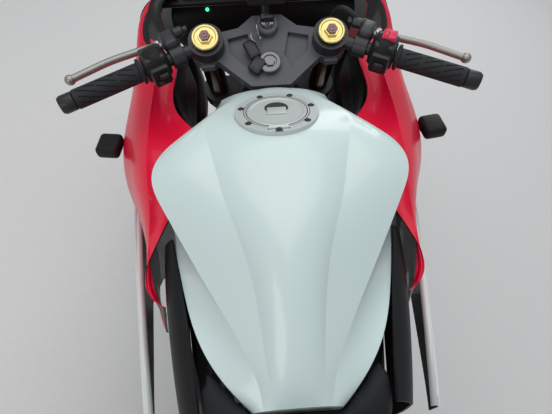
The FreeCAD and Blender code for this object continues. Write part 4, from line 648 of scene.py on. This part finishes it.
stem_steel = varied("stem_steel", (0.20, 0.20, 0.21), 0.36, (700, 3, 0.2, 0.26), metallic=0.9)
stem_cap, clamp_lugs = meshes(2)
crown_nut = ((19.4, 0), (19.4, 1.4), (17.6, 2.6), (12.5, 2.6), (11.5, 0.6), (0, 0.6))
STEM_TOP = YOKE_TOP + 9
drum(stem_cap, FORK @ at(STEM_X, 0, STEM_TOP), crown_nut, 40)
prism(stem_cap, FORK @ at(STEM_X, 0, STEM_TOP + 0.4), 6, 9.5, 4.2, 8.8)
for high in (691, 519):
    block(clamp_lugs, FORK @ at(-31, LEG_Y + 2, high), 9, 26, 16, 3)
finished("stem_cap", stem_cap, stem_steel, "steering")
finished("clamp_lugs", clamp_lugs, yoke_grey, "steering", pair=True)

# Ignition: a steel-faced lock in the top yoke, with its key in it. The key's moulded bow carries two split
# rings of wire, from which two black moulded fobs hang on the yoke.
key_plastic = cast_black("key_plastic", (0.014, 0.014, 0.016), 0.38, 1200, 0.04)
lock, key_blade, key_bow, key_ring = meshes(4)
LOCK = FORK @ at(32, 0, YOKE_TOP + 0.3)
drum(lock, LOCK, ((0, 0), (19, 0), (19, 11), (17, 13.4), (12, 14), (11, 11), (0, 11)), 40)
drum(key_blade, LOCK, ((10.6, 10.9), (10.2, 13), (7.4, 13), (6.6, 11.2), (0, 11.2)), 36)
block(key_blade, LOCK @ at(0, 0, 16), 2.4, 9, 12, 0.5)
block(key_bow, LOCK @ at(0, 0, 27), 7, 23, 15, 3, 3)
bow_eye = LOCK @ at(0, 0, 30, ("Y", 90)) @ at(0, 8, -4.2)
drum(key_bow, bow_eye, ((2.5, 0), (4.6, 0), (4.6, 8.4), (2.5, 8.4), (2.5, 0)), 16)
FOBS = ((-12, 30, 34, 22, 9, 24), (-42, 22, 30, 24, 10, -38))  # x, y, long, wide, thick, turned
for x, y, long, wide, thick, turned in FOBS:
    fob = FORK @ at(x, y, YOKE_TOP + 8, ("Z", turned))
    block(key_bow, fob, long, wide, thick, 4, 3)
    block(key_bow, fob @ at(0, 0, thick / 2), long - 9, wide - 8, 1.6, 0.7)
for x, y, high, tip, radius in ((20, 13, 16, 60, 12.5), (8, 22, 13, 25, 9)):
    wind(key_ring, FORK @ at(x, y, YOKE_TOP + high, ("X", tip)), radius, 1.1, 32)
finished("ignition_lock", lock, yoke_grey, "steering", replaces=("ignition_switch",))
finished("key_blade", key_blade, bright_steel, "steering")
finished("key_and_fobs", key_bow, key_plastic, "steering")
finished("key_rings", key_ring, bright_steel, "steering")

# Handlebars: a forged clamp and tube each side, with moulded switch housings, soft grips whose slanted
# grooves were moulded in, and turned end weights held by one screw.
SWEEP, DROOP = math.radians(24.4), math.radians(5.3)
bar_way = Vector((-math.sin(SWEEP) * math.cos(DROOP), math.cos(SWEEP) * math.cos(DROOP), -math.sin(DROOP)))
bar_ahead = Vector((math.cos(SWEEP), math.sin(SWEEP), 0))
BAR = Matrix((bar_ahead, bar_way.cross(bar_ahead), bar_way)).transposed().to_4x4()
BAR.translation = FORK @ Vector((0, LEG_Y, YOKE_TOP + 13.3))
GRIP_FROM, GRIP_TO, GRIP_RADIUS = 119, 237, 16.5
rubber_black = Finish("rubber_black", (0.020, 0.021, 0.024), 0.62, specular_ior_level=0.30)
rubber_black.bump(rubber_black.speckle(1500, 2), 0.3, 0.08)
grip, weight = meshes(2)
GRIP_STEPS, GRIP_ROWS, ZONE_LONG, GRIP_TWIST, GRIP_GROOVE = 40, 30, 33.5, 0.030, 1.6
ends = ((11.3, 0), (20.5, 0), (21.5, 1.2), (21.5, 3.8), (20.5, 5), (GRIP_RADIUS, 6))
rows = [(GRIP_RADIUS, 6 + 111 * row / GRIP_ROWS) for row in range(1, GRIP_ROWS + 1)]
rows += [(GRIP_RADIUS - 1, 118), (11.3, 118), (11.3, 0)]
drum(grip, BAR @ at(0, 0, GRIP_FROM), (*ends, *rows), GRIP_STEPS)
bmesh.ops.remove_doubles(grip, verts=grip.verts, dist=0.01)
bmesh.ops.recalc_face_normals(grip, faces=grip.faces)
to_bar = BAR.inverted()
columns = {}
for face in grip.faces:
    middle = to_bar @ face.calc_center_median()
    if middle.xy.length > GRIP_RADIUS - 1 and GRIP_FROM + 10 < middle.z < GRIP_TO - 8:
        count = int((math.atan2(middle.y, middle.x) % math.tau) / (math.tau / GRIP_STEPS))
        zone, into_zone = divmod(middle.z - GRIP_FROM - 10, ZONE_LONG)
        if count % 4 == 0 and 3 < into_zone < 31:
            columns.setdefault((count, zone), []).append(face)
for faces in columns.values():
    bmesh.ops.inset_region(grip, faces=faces, thickness=0.5, depth=0, use_even_offset=True)
    for vert in {vert for face in faces for vert in face.verts}:
        there = to_bar @ vert.co
        there.xy = there.xy.normalized() * (GRIP_RADIUS - GRIP_GROOVE)
        vert.co = BAR @ there
for vert in grip.verts:
    there = to_bar @ vert.co
    if there.xy.length > GRIP_RADIUS - 3 and there.z > GRIP_FROM + 6.5:
        twist = (there.z - GRIP_FROM) * GRIP_TWIST
        vert.co = BAR @ (Matrix.Rotation(twist, 3, "Z") @ there)
end_weight = ((0, 0), (14, 0), (15.5, 1.5), (15.5, 20), (13, 24.6), (6, 24.6), (5, 20), (0, 20))
drum(weight, BAR @ at(0, 0, GRIP_TO + 0.4), end_weight, 36)
finished("handlebar_grips", grip, rubber_black, "steering", pair=True, replaces=("grips",))
finished("bar_end_weights", weight, key_plastic, "steering", pair=True)
black_plastic = Finish("black_plastic", (0.012, 0.012, 0.013), 0.48, specular_ior_level=0.20)
moulded = black_plastic.speckle(1100, 2, 0.6)
black_plastic.set(Roughness=moulded * 0.2 + 0.38).bump(moulded, 0.3, 0.06)
wear(black_plastic, "switchgear")
switch_seams, buttons = meshes(2)
block(switch_seams, BAR @ at(2, -17, 95), 42, 18, 38, 5, 3)
block(switch_seams, BAR @ at(-27, 0, 95), 14, 32, 32, 4, 3)
BUTTONS = (((-37, -3, 92), 7, 9, 15), ((-36, 9, 99), 5, 8, 10), ((4, -26.5, 88), 18, 4, 12))
for spot, long, wide, high in BUTTONS:
    block(buttons, BAR @ at(*spot), long, wide, high, 1.8)
drum(switch_seams, BAR @ at(33, -18, 50, ("X", 90)), ((0, -8), (9, -8), (9.5, 4), (8, 8), (0, 8)), 20)
drum(switch_seams, BAR @ at(0, 0, 117.5), ((12, 0), (19, 0), (19, 1.2), (12, 1.2), (12, 0)), 28)
for high in (80, 108):
    socket_bolt(switch_seams, BAR @ at(12, 23, high, ("X", -90)), 3.2, 2.4)
finished("left_switch_buttons", buttons, key_plastic, "steering")
finished("switch_fittings", switch_seams, key_plastic, "steering", pair=True)
RIGHT_BAR = Matrix.Diagonal((1, -1, 1, 1)) @ BAR
kill_red = varied("kill_red", (0.74, 0.03, 0.09), 0.34, (300, 2, 0.1, 0.32))
kill_switch, start_box = meshes(2)
block(kill_switch, RIGHT_BAR @ at(5, -31, 97, ("X", 8)), 22, 9, 23, 1.6, 3)
block(kill_switch, RIGHT_BAR @ at(5, -35, 91, ("X", 22)), 20, 4, 9, 1.2)
block(start_box, RIGHT_BAR @ at(-36.5, 2, 95), 6, 14, 16, 2)
finished("kill_switch", kill_switch, kill_red, "steering")
finished("start_button", start_box, key_plastic, "steering")
perches, lever_screws = meshes(2)
clamp = ((11.3, 0), (17, 0), (18, 1), (18, 23), (17, 24), (11.3, 24), (11.3, 0))
drum(perches, BAR @ at(0, 0, 43), clamp, 32)
block(perches, BAR @ at(20, -18, 57), 40, 22, 26, 7, 3)
drum(perches, BAR @ at(30, -20, 44, ("X", 180)), ((0, 0), (9, 0), (9, 14), (6, 17), (6, 24), (0, 24)), 24)
finished("lever_perches", perches, black_metal, "steering", pair=True,
         replaces=("lever_brackets",))
socket_bolt(lever_screws, BAR @ at(36, -14, 57, ("X", 90)), 6, 4)
drum(lever_screws, BAR @ at(46, 0, 76, ("Y", 8)), ((0, -5), (9, -5), (10, -3), (10, 3), (9, 5), (0, 5)), 20)
finished("lever_adjusters", lever_screws, bright_steel, "steering", pair=True)

# Brake hose: one run of braided rubber hose. It is pushed on at the lever's master cylinder, loops over the
# yoke and runs down the right fork leg to its caliper.
HOSE = ((46, -128, 748), (44, -110, 690), (44, -112, 560), (42, -118, 430), (26, -146, 330))
HOSE += ((-24, -156, 235), (-70, -146, 160), (-100, -128, 96), (-100, -98.4, 96))
hose_from = BAR @ Vector((33, -20, 41))
hose_from.y *= -1
hose_spots = [hose_from, *(FORK @ Vector(spot) for spot in HOSE)]
hose_curve = bpy.data.curves.new("brake_hose_line", "CURVE")
hose_curve.dimensions = "3D"
hose_curve.bevel_depth, hose_curve.bevel_resolution, hose_curve.resolution_u = 0.0045, 4, 12
line = hose_curve.splines.new("NURBS")
line.points.add(len(hose_spots) - 1)
for point, spot in zip(line.points, hose_spots):
    point.co = (*(UPRIGHT @ spot), 1)
line.order_u, line.use_endpoint_u = 3, True
hose_curve.materials.append(rubber_black.material)
hose = bpy.data.objects.new("brake_hose_line", hose_curve)
bpy.context.scene.collection.objects.link(hose)
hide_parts("brake_hose")
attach(hose, "steering")

# Calipers: cast four-piston bodies over the discs, in satin black. Socket bolts join their halves, and
# screwed caps close the bores of the outer pistons.
caliper_bolts, caliper_caps = meshes(2)
CALIPER = FORK @ at(0, 0, 0, ("Y", 215))
for x, z in ((106, -44), (106, 44), (158, -44), (158, 44)):
    socket_bolt(caliper_bolts, CALIPER @ at(x, 98, z, ("X", -90)), 6.5, 6)
for z in (-22, 22):
    cap = CALIPER @ at(130, 97.6, z, ("X", -90))
    drum(caliper_caps, cap, ((17, 0), (17, 5), (14, 7), (5, 7), (4, 5), (0, 5)), 28)
finished("caliper_bolts", caliper_bolts, bright_steel, "steering", pair=True)
finished("caliper_pistons", caliper_caps, black_metal, "steering", pair=True)

# Footrests: cast black plates bolted to the pivot plates, turned alloy pegs with grip rings, and foot levers
# with rubber tips.
wear(black_metal, "footrests")
PEG_FROM, PEG_RIDGES = 166, 9
PEGS = ((-225, 372, 82, 12.6), (-338, 596, 72, 10.6))  # x, z, long, radius: rider's, pillion's
pegs, toes, plate_bolts = meshes(3)
for x, z, long, radius in PEGS:
    rows = [(radius - 3, 0), (radius, 1)]
    for ridge in range(PEG_RIDGES):
        high = 4 + ridge * (long - 16) / PEG_RIDGES
        rows += [(radius, high), (radius - 1.4, high + 1.2), (radius - 1.4, high + 3.2), (radius, high + 4.4)]
    rows += [(radius, long - 6), (radius + 3, long - 4), (radius + 3, long - 1)]
    rows += [(radius + 1, long), (0, long)]
    drum(pegs, at(x, PEG_FROM, z, ("X", -90)), rows, 24)
toe_rows = ((8.3, 1), (9.6, 2), (9.6, 33), (8.6, 36.6), (0, 36.6))
drum(toes, at(-95, 176, 350, ("X", -90)), toe_rows, 20)
for x, z in ((-190, 455), (-250, 470), (-242, 352)):
    socket_bolt(plate_bolts, at(x, 166.3, z, ("X", -90)), 7, 7)
finished("footrest_pegs", pegs, bare_alloy, pair=True)
finished("lever_toes", toes, rubber_black, pair=True)
finished("footrest_bolts", plate_bolts, bright_steel, pair=True)

# Tank: pressed steel in pearl white lacquer, whose flakes turn it faintly green and blue. Its shell is the
# CAD model's own.
pearl_white = Finish("pearl_white", (0.64, 0.78, 0.76), 0.36, coat_weight=0.6, coat_roughness=0.12)
flake = pearl_white.speckle(2600, 1, 0.5)
drift = pearl_white.speckle(3.5, 2)
pearl_white.paint((0.63, 0.775, 0.75), (0.67, 0.795, 0.785), drift)
pearl_white.set(Roughness=flake * 0.12 + 0.32)
wear(pearl_white, "fuel_tank")

# Filler: a brushed alloy ring held in the tank by seven dark cap screws. The hinged lid has a raised rim and
# a lock flap; beside it, the finger recess is a flat dark disc of painted shade, not a dip.
filler_silver = varied("filler_silver", (0.60, 0.65, 0.63), 0.42, (900, 3, 0.16, 0.34), metallic=0.25)
wear(filler_silver, "filler_ring", "filler_lid")
filler_dark = varied("filler_dark", (0.05, 0.052, 0.055), 0.5, (700, 2, 0.1, 0.45), metallic=0.3)
FILLER = at(213, 0, 979, ("Y", 17))
RING_SCREWS, SCREW_CIRCLE = 7, 51.3
ring_screws, ring_seams, lid_flap, recess_painted_shade = meshes(4)
for spot in ring_of(FILLER, RING_SCREWS, SCREW_CIRCLE, 180):
    drum(ring_screws, spot, ((3.8, -0.4), (3.8, 0.9), (3.2, 1.3), (2, 1.3), (1.8, 0.4), (0, 0.4)), 20)
    drum(ring_seams, spot, ((3.9, 0.06), (4.9, 0.06)), 20)
for inside, outside in ((46.2, 47.2), (42.6, 43.4)):
    drum(ring_seams, FILLER, ((inside, 0.08), (outside, 0.08)), 72)
# The finger recess: a flat disc of dark finish laid just over the lid, painted shade where the dip would be.
drum(recess_painted_shade, FILLER @ at(9, 0, 0.08), ((0, 0), (16.4, 0), (17, 0.12)), 40)
block(lid_flap, FILLER @ at(-2, 0, 1.1), 19, 27, 2.2, 0.9, 3)
drum(lid_flap, FILLER, ((36, 0.05), (37.5, 0.9), (40.5, 0.9), (41.6, 0.05)), 72)
block(ring_seams, FILLER @ at(-57.2, 0, 0.3), 2.2, 11, 1.1, 0.4)
finished("filler_screws", ring_screws, filler_dark)
finished("filler_seams", ring_seams, filler_dark)
finished("recess_painted_shade", recess_painted_shade, filler_dark, "lid")
finished("lid_flap", lid_flap, filler_silver, "lid")

# Seats: moulded foam under grained black vinyl. Each cover is sewn from a top and a side band, whose seam
# runs where the foam turns over its edge.
seat_cover = Finish("seat_cover", (0.011, 0.012, 0.014), 0.58, specular_ior_level=0.22)
hide = seat_cover.speckle(520, 4, 0.6)
seat_cover.set(Roughness=hide * 0.16 + 0.50).bump(hide, 0.5, 0.25)
UPSIDE = (UPRIGHT.to_3x3() @ Vector((0, 0, 1))).normalized()
SEAM_LOW, SEAM_HIGH, SEAM_DEEP, CROWN_HIGH = 0.46, 0.60, 0.0024, 0.0022
EVERY_WAY = {"use_axis_x": True, "use_axis_y": True, "use_axis_z": True}
for name, voxel in (("rider_seat", 0.0065), ("pillion_seat", 0.0055)):
    source = nodes[name].data.copy()
    cushion = bpy.data.objects.new(name + "_cover", source)
    bpy.context.scene.collection.objects.link(cushion)
    merged = bmesh.new()
    merged.from_mesh(source)
    bmesh.ops.remove_doubles(merged, verts=merged.verts, dist=0.0002)
    merged.to_mesh(source)
    merged.free()
    remesh = cushion.modifiers.new("even_mesh", "REMESH")
    remesh.mode, remesh.voxel_size = "VOXEL", voxel
    even = bpy.data.meshes.new_from_object(cushion.evaluated_get(bpy.context.evaluated_depsgraph_get()))
    cushion.modifiers.clear()
    foam = bmesh.new()
    foam.from_mesh(even)
    for count in range(5):
        bmesh.ops.smooth_vert(foam, verts=foam.verts, factor=0.5, **EVERY_WAY)
    foam.normal_update()
    for vert in foam.verts:
        tilt = vert.normal.dot(UPSIDE)
        seam = SEAM_DEEP if SEAM_LOW < tilt < SEAM_HIGH else 0
        vert.co += vert.normal * (max(0.0, tilt) ** 3 * CROWN_HIGH - seam)
    bmesh.ops.smooth_vert(foam, verts=foam.verts, factor=0.35, **EVERY_WAY)
    foam.to_mesh(even)
    foam.free()
    cushion.data = even
    even.materials.clear()
    even.materials.append(seat_cover.material)
    even.shade_smooth()
    soften(cushion, 1)
    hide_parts(name)
    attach(cushion, "chassis")

# Fairing: injection-moulded panels in red and white lacquer, left bare black inside. Recessed cap screws with
# nylon washers hold them to each other.
BARE_BLACK = (0.016, 0.016, 0.018)
FACING_IN, FACING_UP, FACING_BACK = -0.002, 0.15, -0.5


def bare_inside(finish, outside):
    """Lacquer on the outer faces only: the inner ones face the bike's middle and don't face up."""
    facing = finish.node("ShaderNodeTexCoord").outputs["Normal"]

    def share(vector, along):
        values = {0: vector, 1: tuple(along)}
        made = finish.node("ShaderNodeVectorMath", {"operation": "DOT_PRODUCT"}, values)
        return Value(finish, made.outputs["Value"])

    off_middle = share(finish.place, to_left) - to_left.dot(UPRIGHT.translation)
    inward = (off_middle * share(facing, to_left)).maths("LESS_THAN", FACING_IN)
    flat = share(facing, UPSIDE).maths("LESS_THAN", FACING_UP)
    backward = share(facing, forward).maths("LESS_THAN", FACING_BACK)
    finish.paint(outside, BARE_BLACK, (inward * flat).maths("MAXIMUM", backward))


red_plastic = Finish("red_plastic", (0.82, 0.003, 0.040), 0.36, specular_ior_level=0.22, coat_weight=0.24,
                     coat_roughness=0.06)
tone = red_plastic.speckle(4, 2)
bare_inside(red_plastic, red_plastic.mix((0.79, 0.002, 0.038), (0.86, 0.005, 0.046), tone))
wear(red_plastic, "nose_cowl", "left_side_fairing", "right_side_fairing")
wear(red_plastic, "left_tail_panel", "right_tail_panel")
guard_red = varied("guard_red", (0.82, 0.003, 0.040), 0.36, (4, 2, 0.06, 0.30),
                   coat_weight=0.35, coat_roughness=0.06)
wear(guard_red, "front_mudguard")
WHITE_COAT = {"coat_weight": 0.5, "coat_roughness": 0.08}
white_plastic = varied("white_plastic", (0.72, 0.77, 0.77), 0.34, (3, 2, 0.08, 0.30), **WHITE_COAT)
bare_inside(white_plastic, (0.72, 0.77, 0.77))
wear(white_plastic, "left_lower_fairing", "right_lower_fairing")


def surface_of(node):
    """A CAD node's own surface, to set small fittings on."""
    mesh = nodes[node].data
    corners = [vert.co.copy() for vert in mesh.vertices]
    return BVHTree.FromPolygons(corners, [tuple(face.vertices) for face in mesh.polygons])


def on_surface(tree, start, way):
    """A place on the surface, +Z out of it, where a ray on the upright bike first meets it."""
    turn = UPRIGHT.to_3x3().normalized()
    spot, normal, _, _ = tree.ray_cast(UPRIGHT @ Vector(start), turn @ Vector(way).normalized())
    spot, normal = UPRIGHT.inverted() @ spot, turn.inverted() @ normal
    if normal.dot(Vector(way)) > 0:
        normal.negate()
    return Matrix.Translation(spot) @ normal.to_track_quat("Z", "X").to_matrix().to_4x4()


PANEL_SCREWS = {  # node, then where each screw is seen from its side: x, z
    "left_side_fairing": ((520, 752), (430, 668), (312, 662), (214, 668), (150, 700), (52, 728)),
    "left_lower_fairing": ((398, 610), (300, 610), (60, 612), (-110, 618), (330, 420), (260, 250)),
    "left_tail_panel": ((-230, 750), (-420, 776), (-640, 838), (-900, 896)),
    "left_frame_cover": ((50, 742), (-110, 720)),
    "nose_cowl": ((600, 838), (700, 812)),
}
panel_screws, panel_washers = meshes(2)
for node, spots in PANEL_SCREWS.items():
    tree = surface_of(node)
    for x, z in spots:
        spot = on_surface(tree, (x, 600, z), (0, -1, 0))
        drum(panel_washers, spot, ((0, 0.2), (9, 0.2), (9.4, 0.8), (8.6, 1.3), (0, 1.3)), 24)
        drum(panel_screws, spot, ((6.4, 1), (6.4, 2.2), (5.4, 3), (3, 3), (2.8, 1.6), (0, 1.6)), 20)
finished("panel_washers", panel_washers, black_plastic, pair=True)
finished("panel_screws", panel_screws, bright_steel, pair=True)


# Lower fairing's rim: a white lip rolled along the top edge of each panel, on which the side panels stand.
# It is of the same lacquered plastic, painted lighter than the panels as a highlight along the upturned edge.
def through(mesh, rows):
    """A sheet through rows of points, each row bridged to the next."""
    lines = []
    for row in rows:
        verts = [mesh.verts.new(spot) for spot in row]
        lines.append([mesh.edges.new(pair) for pair in zip(verts, verts[1:])])
    for first, second in zip(lines, lines[1:]):
        bmesh.ops.bridge_loops(mesh, edges=first + second)


# The lip's white is lighter than the panels' own: a painted highlight where the top edge catches the light.
white_lip_highlight = varied("white_lip_highlight", (0.80, 0.86, 0.86), 0.34, (3, 2, 0.08, 0.30), **WHITE_COAT)
RIM = ((428, 300), (285, 306), (120, 284.5), (-10, 263.5), (-138, 241))  # x, outside
rim_lip = bmesh.new()
through(rim_lip, [((x, y - 1, 640.2), (x, y - 6, 640.4), (x, y - 13, 636)) for x, y in RIM])
lip = finished("fairing_rims", rim_lip, white_lip_highlight, pair=True, smooth=60)
thicken(lip, 2.2)

# Inner panels: thin moulded liners in black that close the cockpit round the fork, in front of it and beside
# it down to the radiator. Each clears the fork and its hose at full lock.
wear(black_plastic, "left_inner_panel", "right_inner_panel", "left_frame_cover", "right_frame_cover")
wear(black_plastic, "rear_mudguard", "mirrors")
LINER_WALL = 2.5
side_liner, front_liner = meshes(2)
through(side_liner, (
    ((610, 168, 800), (606, 200, 796), (600, 219, 800)),
    ((590, 152, 742), (586, 205, 730), (580, 234, 745)),
    ((540, 154, 706), (540, 210, 698), (536, 262, 716)),
    ((490, 154.5, 696), (490, 215, 690), (490, 270, 710)),
    ((450, 154, 690), (450, 220, 684), (450, 276, 705)),
    ((380, 154, 690), (380, 220, 684), (380, 282, 704)),
    ((330, 170, 710), (330, 220, 706), (330, 282, 716)),
))
through(side_liner, (
    ((610, 168, 800), (626, 160, 740), (660, 160, 680)),
    ((590, 152, 742), (612, 154, 690), (650, 155, 640)),
    ((540, 154, 706), (556, 155, 660), (590, 156, 620)),
    ((490, 154.5, 696), (500, 155, 670), (520, 156, 648)),
))
through(front_liner, (
    [(618, y, 942 - abs(y) * 0.14) for y in (-188, -130, -60, 0, 60, 130, 188)],
    [(618, y, 905 - abs(y) * 0.12) for y in (-200, -130, -60, 0, 60, 130, 200)],
    [(640, y, 868 - abs(y) * 0.10) for y in (-206, -130, -60, 0, 60, 130, 206)],
    [(650, y, 800 - abs(y) * 0.05) for y in (-204, -130, -60, 0, 60, 130, 204)],
    [(668, y, 752) for y in (-188, -130, -60, 0, 60, 130, 188)],
))
for name, mesh, pair in (("side_liners", side_liner, True), ("front_liner", front_liner, False)):
    bmesh.ops.remove_doubles(mesh, verts=mesh.verts, dist=0.1)
    bmesh.ops.recalc_face_normals(mesh, faces=mesh.faces)
    liner = finished(name, mesh, black_plastic, pair=pair, smooth=50)
    thicken(liner, LINER_WALL)
    soften(liner, 2)

# Screen and lamps: a smoked acrylic screen held by nylon screws, clear lenses over polished bowls and bulbs
# in the nose, and a red lens at the tail. The mirrors' glass is silvered and set in their shells.
screen_tint = varied("screen_tint", (0.16, 0.17, 0.19), 0.06, (40, 2, 0.04, 0.04),
                     transmission_weight=0.85, ior=1.49)
wear(screen_tint, "windscreen")
lamp_clear = varied("lamp_clear", (0.86, 0.88, 0.90), 0.05, (60, 2, 0.04, 0.02),
                    transmission_weight=0.9, ior=1.3)
wear(lamp_clear, "headlights")
lamp_red = varied("lamp_red", (0.42, 0.006, 0.010), 0.12, (60, 2, 0.06, 0.08), coat_weight=0.6)
wear(lamp_red, "tail_light")
bowl_chrome = varied("bowl_chrome", (0.70, 0.70, 0.72), 0.10, (60, 2, 0.05, 0.06), metallic=1.0)
bowls, bulbs, bezels = meshes(3)
for x, y, z, radius in ((806, 112, 812, 27), (820, 66, 798, 24)):
    place = at(x - 30, y, z, ("Z", 9), ("Y", 90))
    dish = [(radius * math.sin(turn), 26 * (1 - math.cos(turn))) for turn in (0.2, 0.6, 1.0, 1.35, 1.57)]
    drum(bowls, place, ((0, -1), *dish, (radius + 2, 26), (radius + 2, 20)), 36)
    drum(bulbs, place, ((0, 20), (5, 18.5), (6.4, 13), (6.4, 2), (0, 2)), 16)
    drum(bezels, place, ((radius + 2.2, 18), (radius + 2.2, 27), (radius + 5, 27), (radius + 5, 18)), 36)
finished("headlight_bowls", bowls, bowl_chrome, pair=True)
finished("headlight_bulbs", bulbs, lamp_clear, pair=True)
finished("headlight_bezels", bezels, black_plastic, pair=True)
screen_tree = surface_of("windscreen")
screen_screws = bmesh.new()
for x, y in ((728, 120), (660, 155), (590, 160)):
    drum(screen_screws, on_surface(screen_tree, (x, y, 1300), (0, 0, -1)),
         ((8, 0.1), (8, 1.2), (6.6, 2.4), (3, 2.6), (2.6, 1.4), (0, 1.4)), 20)
finished("screen_screws", screen_screws, black_plastic, pair=True)


def pane(mesh, place, half_wide, half_high, thick, fullness=0.5):
    """A plate with round corners: a disc whose rim is pushed out to the corners, in the place's Y and Z."""
    upright = place @ at(0, 0, 0, ("Y", 90))
    for vert in prism(mesh, upright, 48, 1, thick):
        there = upright.inverted() @ vert.co
        turn = math.atan2(there.y, there.x)
        high, wide = math.cos(turn), math.sin(turn)
        there.x = math.copysign(abs(high) ** fullness, high) * half_high
        there.y = math.copysign(abs(wide) ** fullness, wide) * half_wide
        vert.co = upright @ there


mirror_glass = bmesh.new()
pane(mirror_glass, at(558.2, 340, 1084), 71, 33, 1.6)
finished("mirror_glass", mirror_glass, bowl_chrome, pair=True)

# Indicators: rounded black bodies with amber lenses. The front ones stand straight on the fairing, and the
# rear ones on rubber stalks beside the rear mudguard.
lamp_amber = varied("lamp_amber", (0.72, 0.22, 0.02), 0.18, (80, 2, 0.06, 0.14), coat_weight=0.5)
lamp_bodies, lamp_lenses = meshes(2)
drum(lamp_bodies, at(360, 302.6, 770, ("X", -90)), ((9, 0), (11, 1), (8, 8), (8, 18), (10, 22)), 20)
block(lamp_bodies, at(358, 325, 770, ("Z", -8)), 50, 46, 27, 9, 4)
block(lamp_lenses, at(373, 326, 769, ("Z", -8)), 24, 34, 17, 6, 3)
drum(lamp_bodies, at(-1006, 42.5, 774, ("X", -90)), ((8, 0), (9.5, 1), (6.5, 8), (6.5, 62)), 20)
block(lamp_bodies, at(-1006, 133, 774), 30, 56, 26, 9, 4)
block(lamp_lenses, at(-1014, 134, 773), 18, 46, 16, 6, 3)
finished("indicator_bodies", lamp_bodies, black_plastic, pair=True,
         replaces=("indicators",))
finished("indicator_lenses", lamp_lenses, lamp_amber, pair=True)

# Number plate: a blank plate of white enamelled sheet, held to the rear mudguard by two screws.
# Nothing is written on it.
plate_white = varied("plate_white", (0.70, 0.70, 0.68), 0.4, (20, 2, 0.08, 0.36))
plate_sheet, plate_screws = meshes(2)
PLATE = at(-1071, 0, 539, ("Y", 10)) @ at(-1.2, 0, 65)
block(plate_sheet, PLATE, 1.8, 184, 124, 0.8)
for y in (-60, 60):
    drum(plate_screws, PLATE @ at(-1, y, 30, ("Y", -90)), ((0, 2), (4, 2), (5.4, 0.4), (5.4, -0.4)), 16)
finished("blank_number_plate", plate_sheet, plate_white)
finished("plate_screws", plate_screws, bright_steel)

# Instruments: a moulded black housing with a round rev counter and a liquid crystal panel. A green lamp in
# the cockpit liner shows that the gearbox is in neutral.
dash_black = Finish("dash_black", (0.020, 0.020, 0.022), 0.35)
dash_black.bump(dash_black.speckle(1200, 2), 0.2, 0.04)
wear(dash_black, "instrument_panel")
dial_grey = varied("dial_grey", (0.16, 0.17, 0.18), 0.5, (200, 2, 0.1, 0.45))
DASH, DIAL_MARKS = at(480, 0, 988, ("Y", -14)), 25
dial, dial_marks, crystal, neutral_lamp = meshes(4)
drum(dial, DASH @ at(46, 22, 44), ((0, 0.8), (33, 0.8), (34, 3.6), (37, 4.4), (39, 2.6), (39.4, 0)), 48)
for count in range(DIAL_MARKS):
    long = 6.5 if count % 2 == 0 else 3.5
    spot = DASH @ at(46, 22, 45, ("Z", 210 - count * 10)) @ at(30 - long / 2, 0, 0)
    block(dial_marks, spot, long, 1.1, 0.5, 0.2, 1)
block(dial_marks, DASH @ at(46, 22, 46, ("Z", 160)) @ at(11, 0, 0), 26, 1.8, 0.8, 0.3, 1)
block(crystal, DASH @ at(46, -44, 44.4), 44, 46, 2.4, 1.2)
drum(neutral_lamp, at(619, 119, 887, ("Y", -60)), ((0, 7), (2.8, 6.6), (3.8, 5), (3.8, 0)), 16)
lamp_green = varied("lamp_green", (0.05, 0.75, 0.30), 0.3, (80, 2, 0.1, 0.25),
                    emission_color=(0.05, 0.9, 0.35, 1), emission_strength=1.6)
finished("rev_counter", dial, dash_black)
finished("dial_marks", dial_marks, plate_white)
finished("crystal_panel", crystal, dial_grey)
finished("neutral_lamp", neutral_lamp, lamp_green)
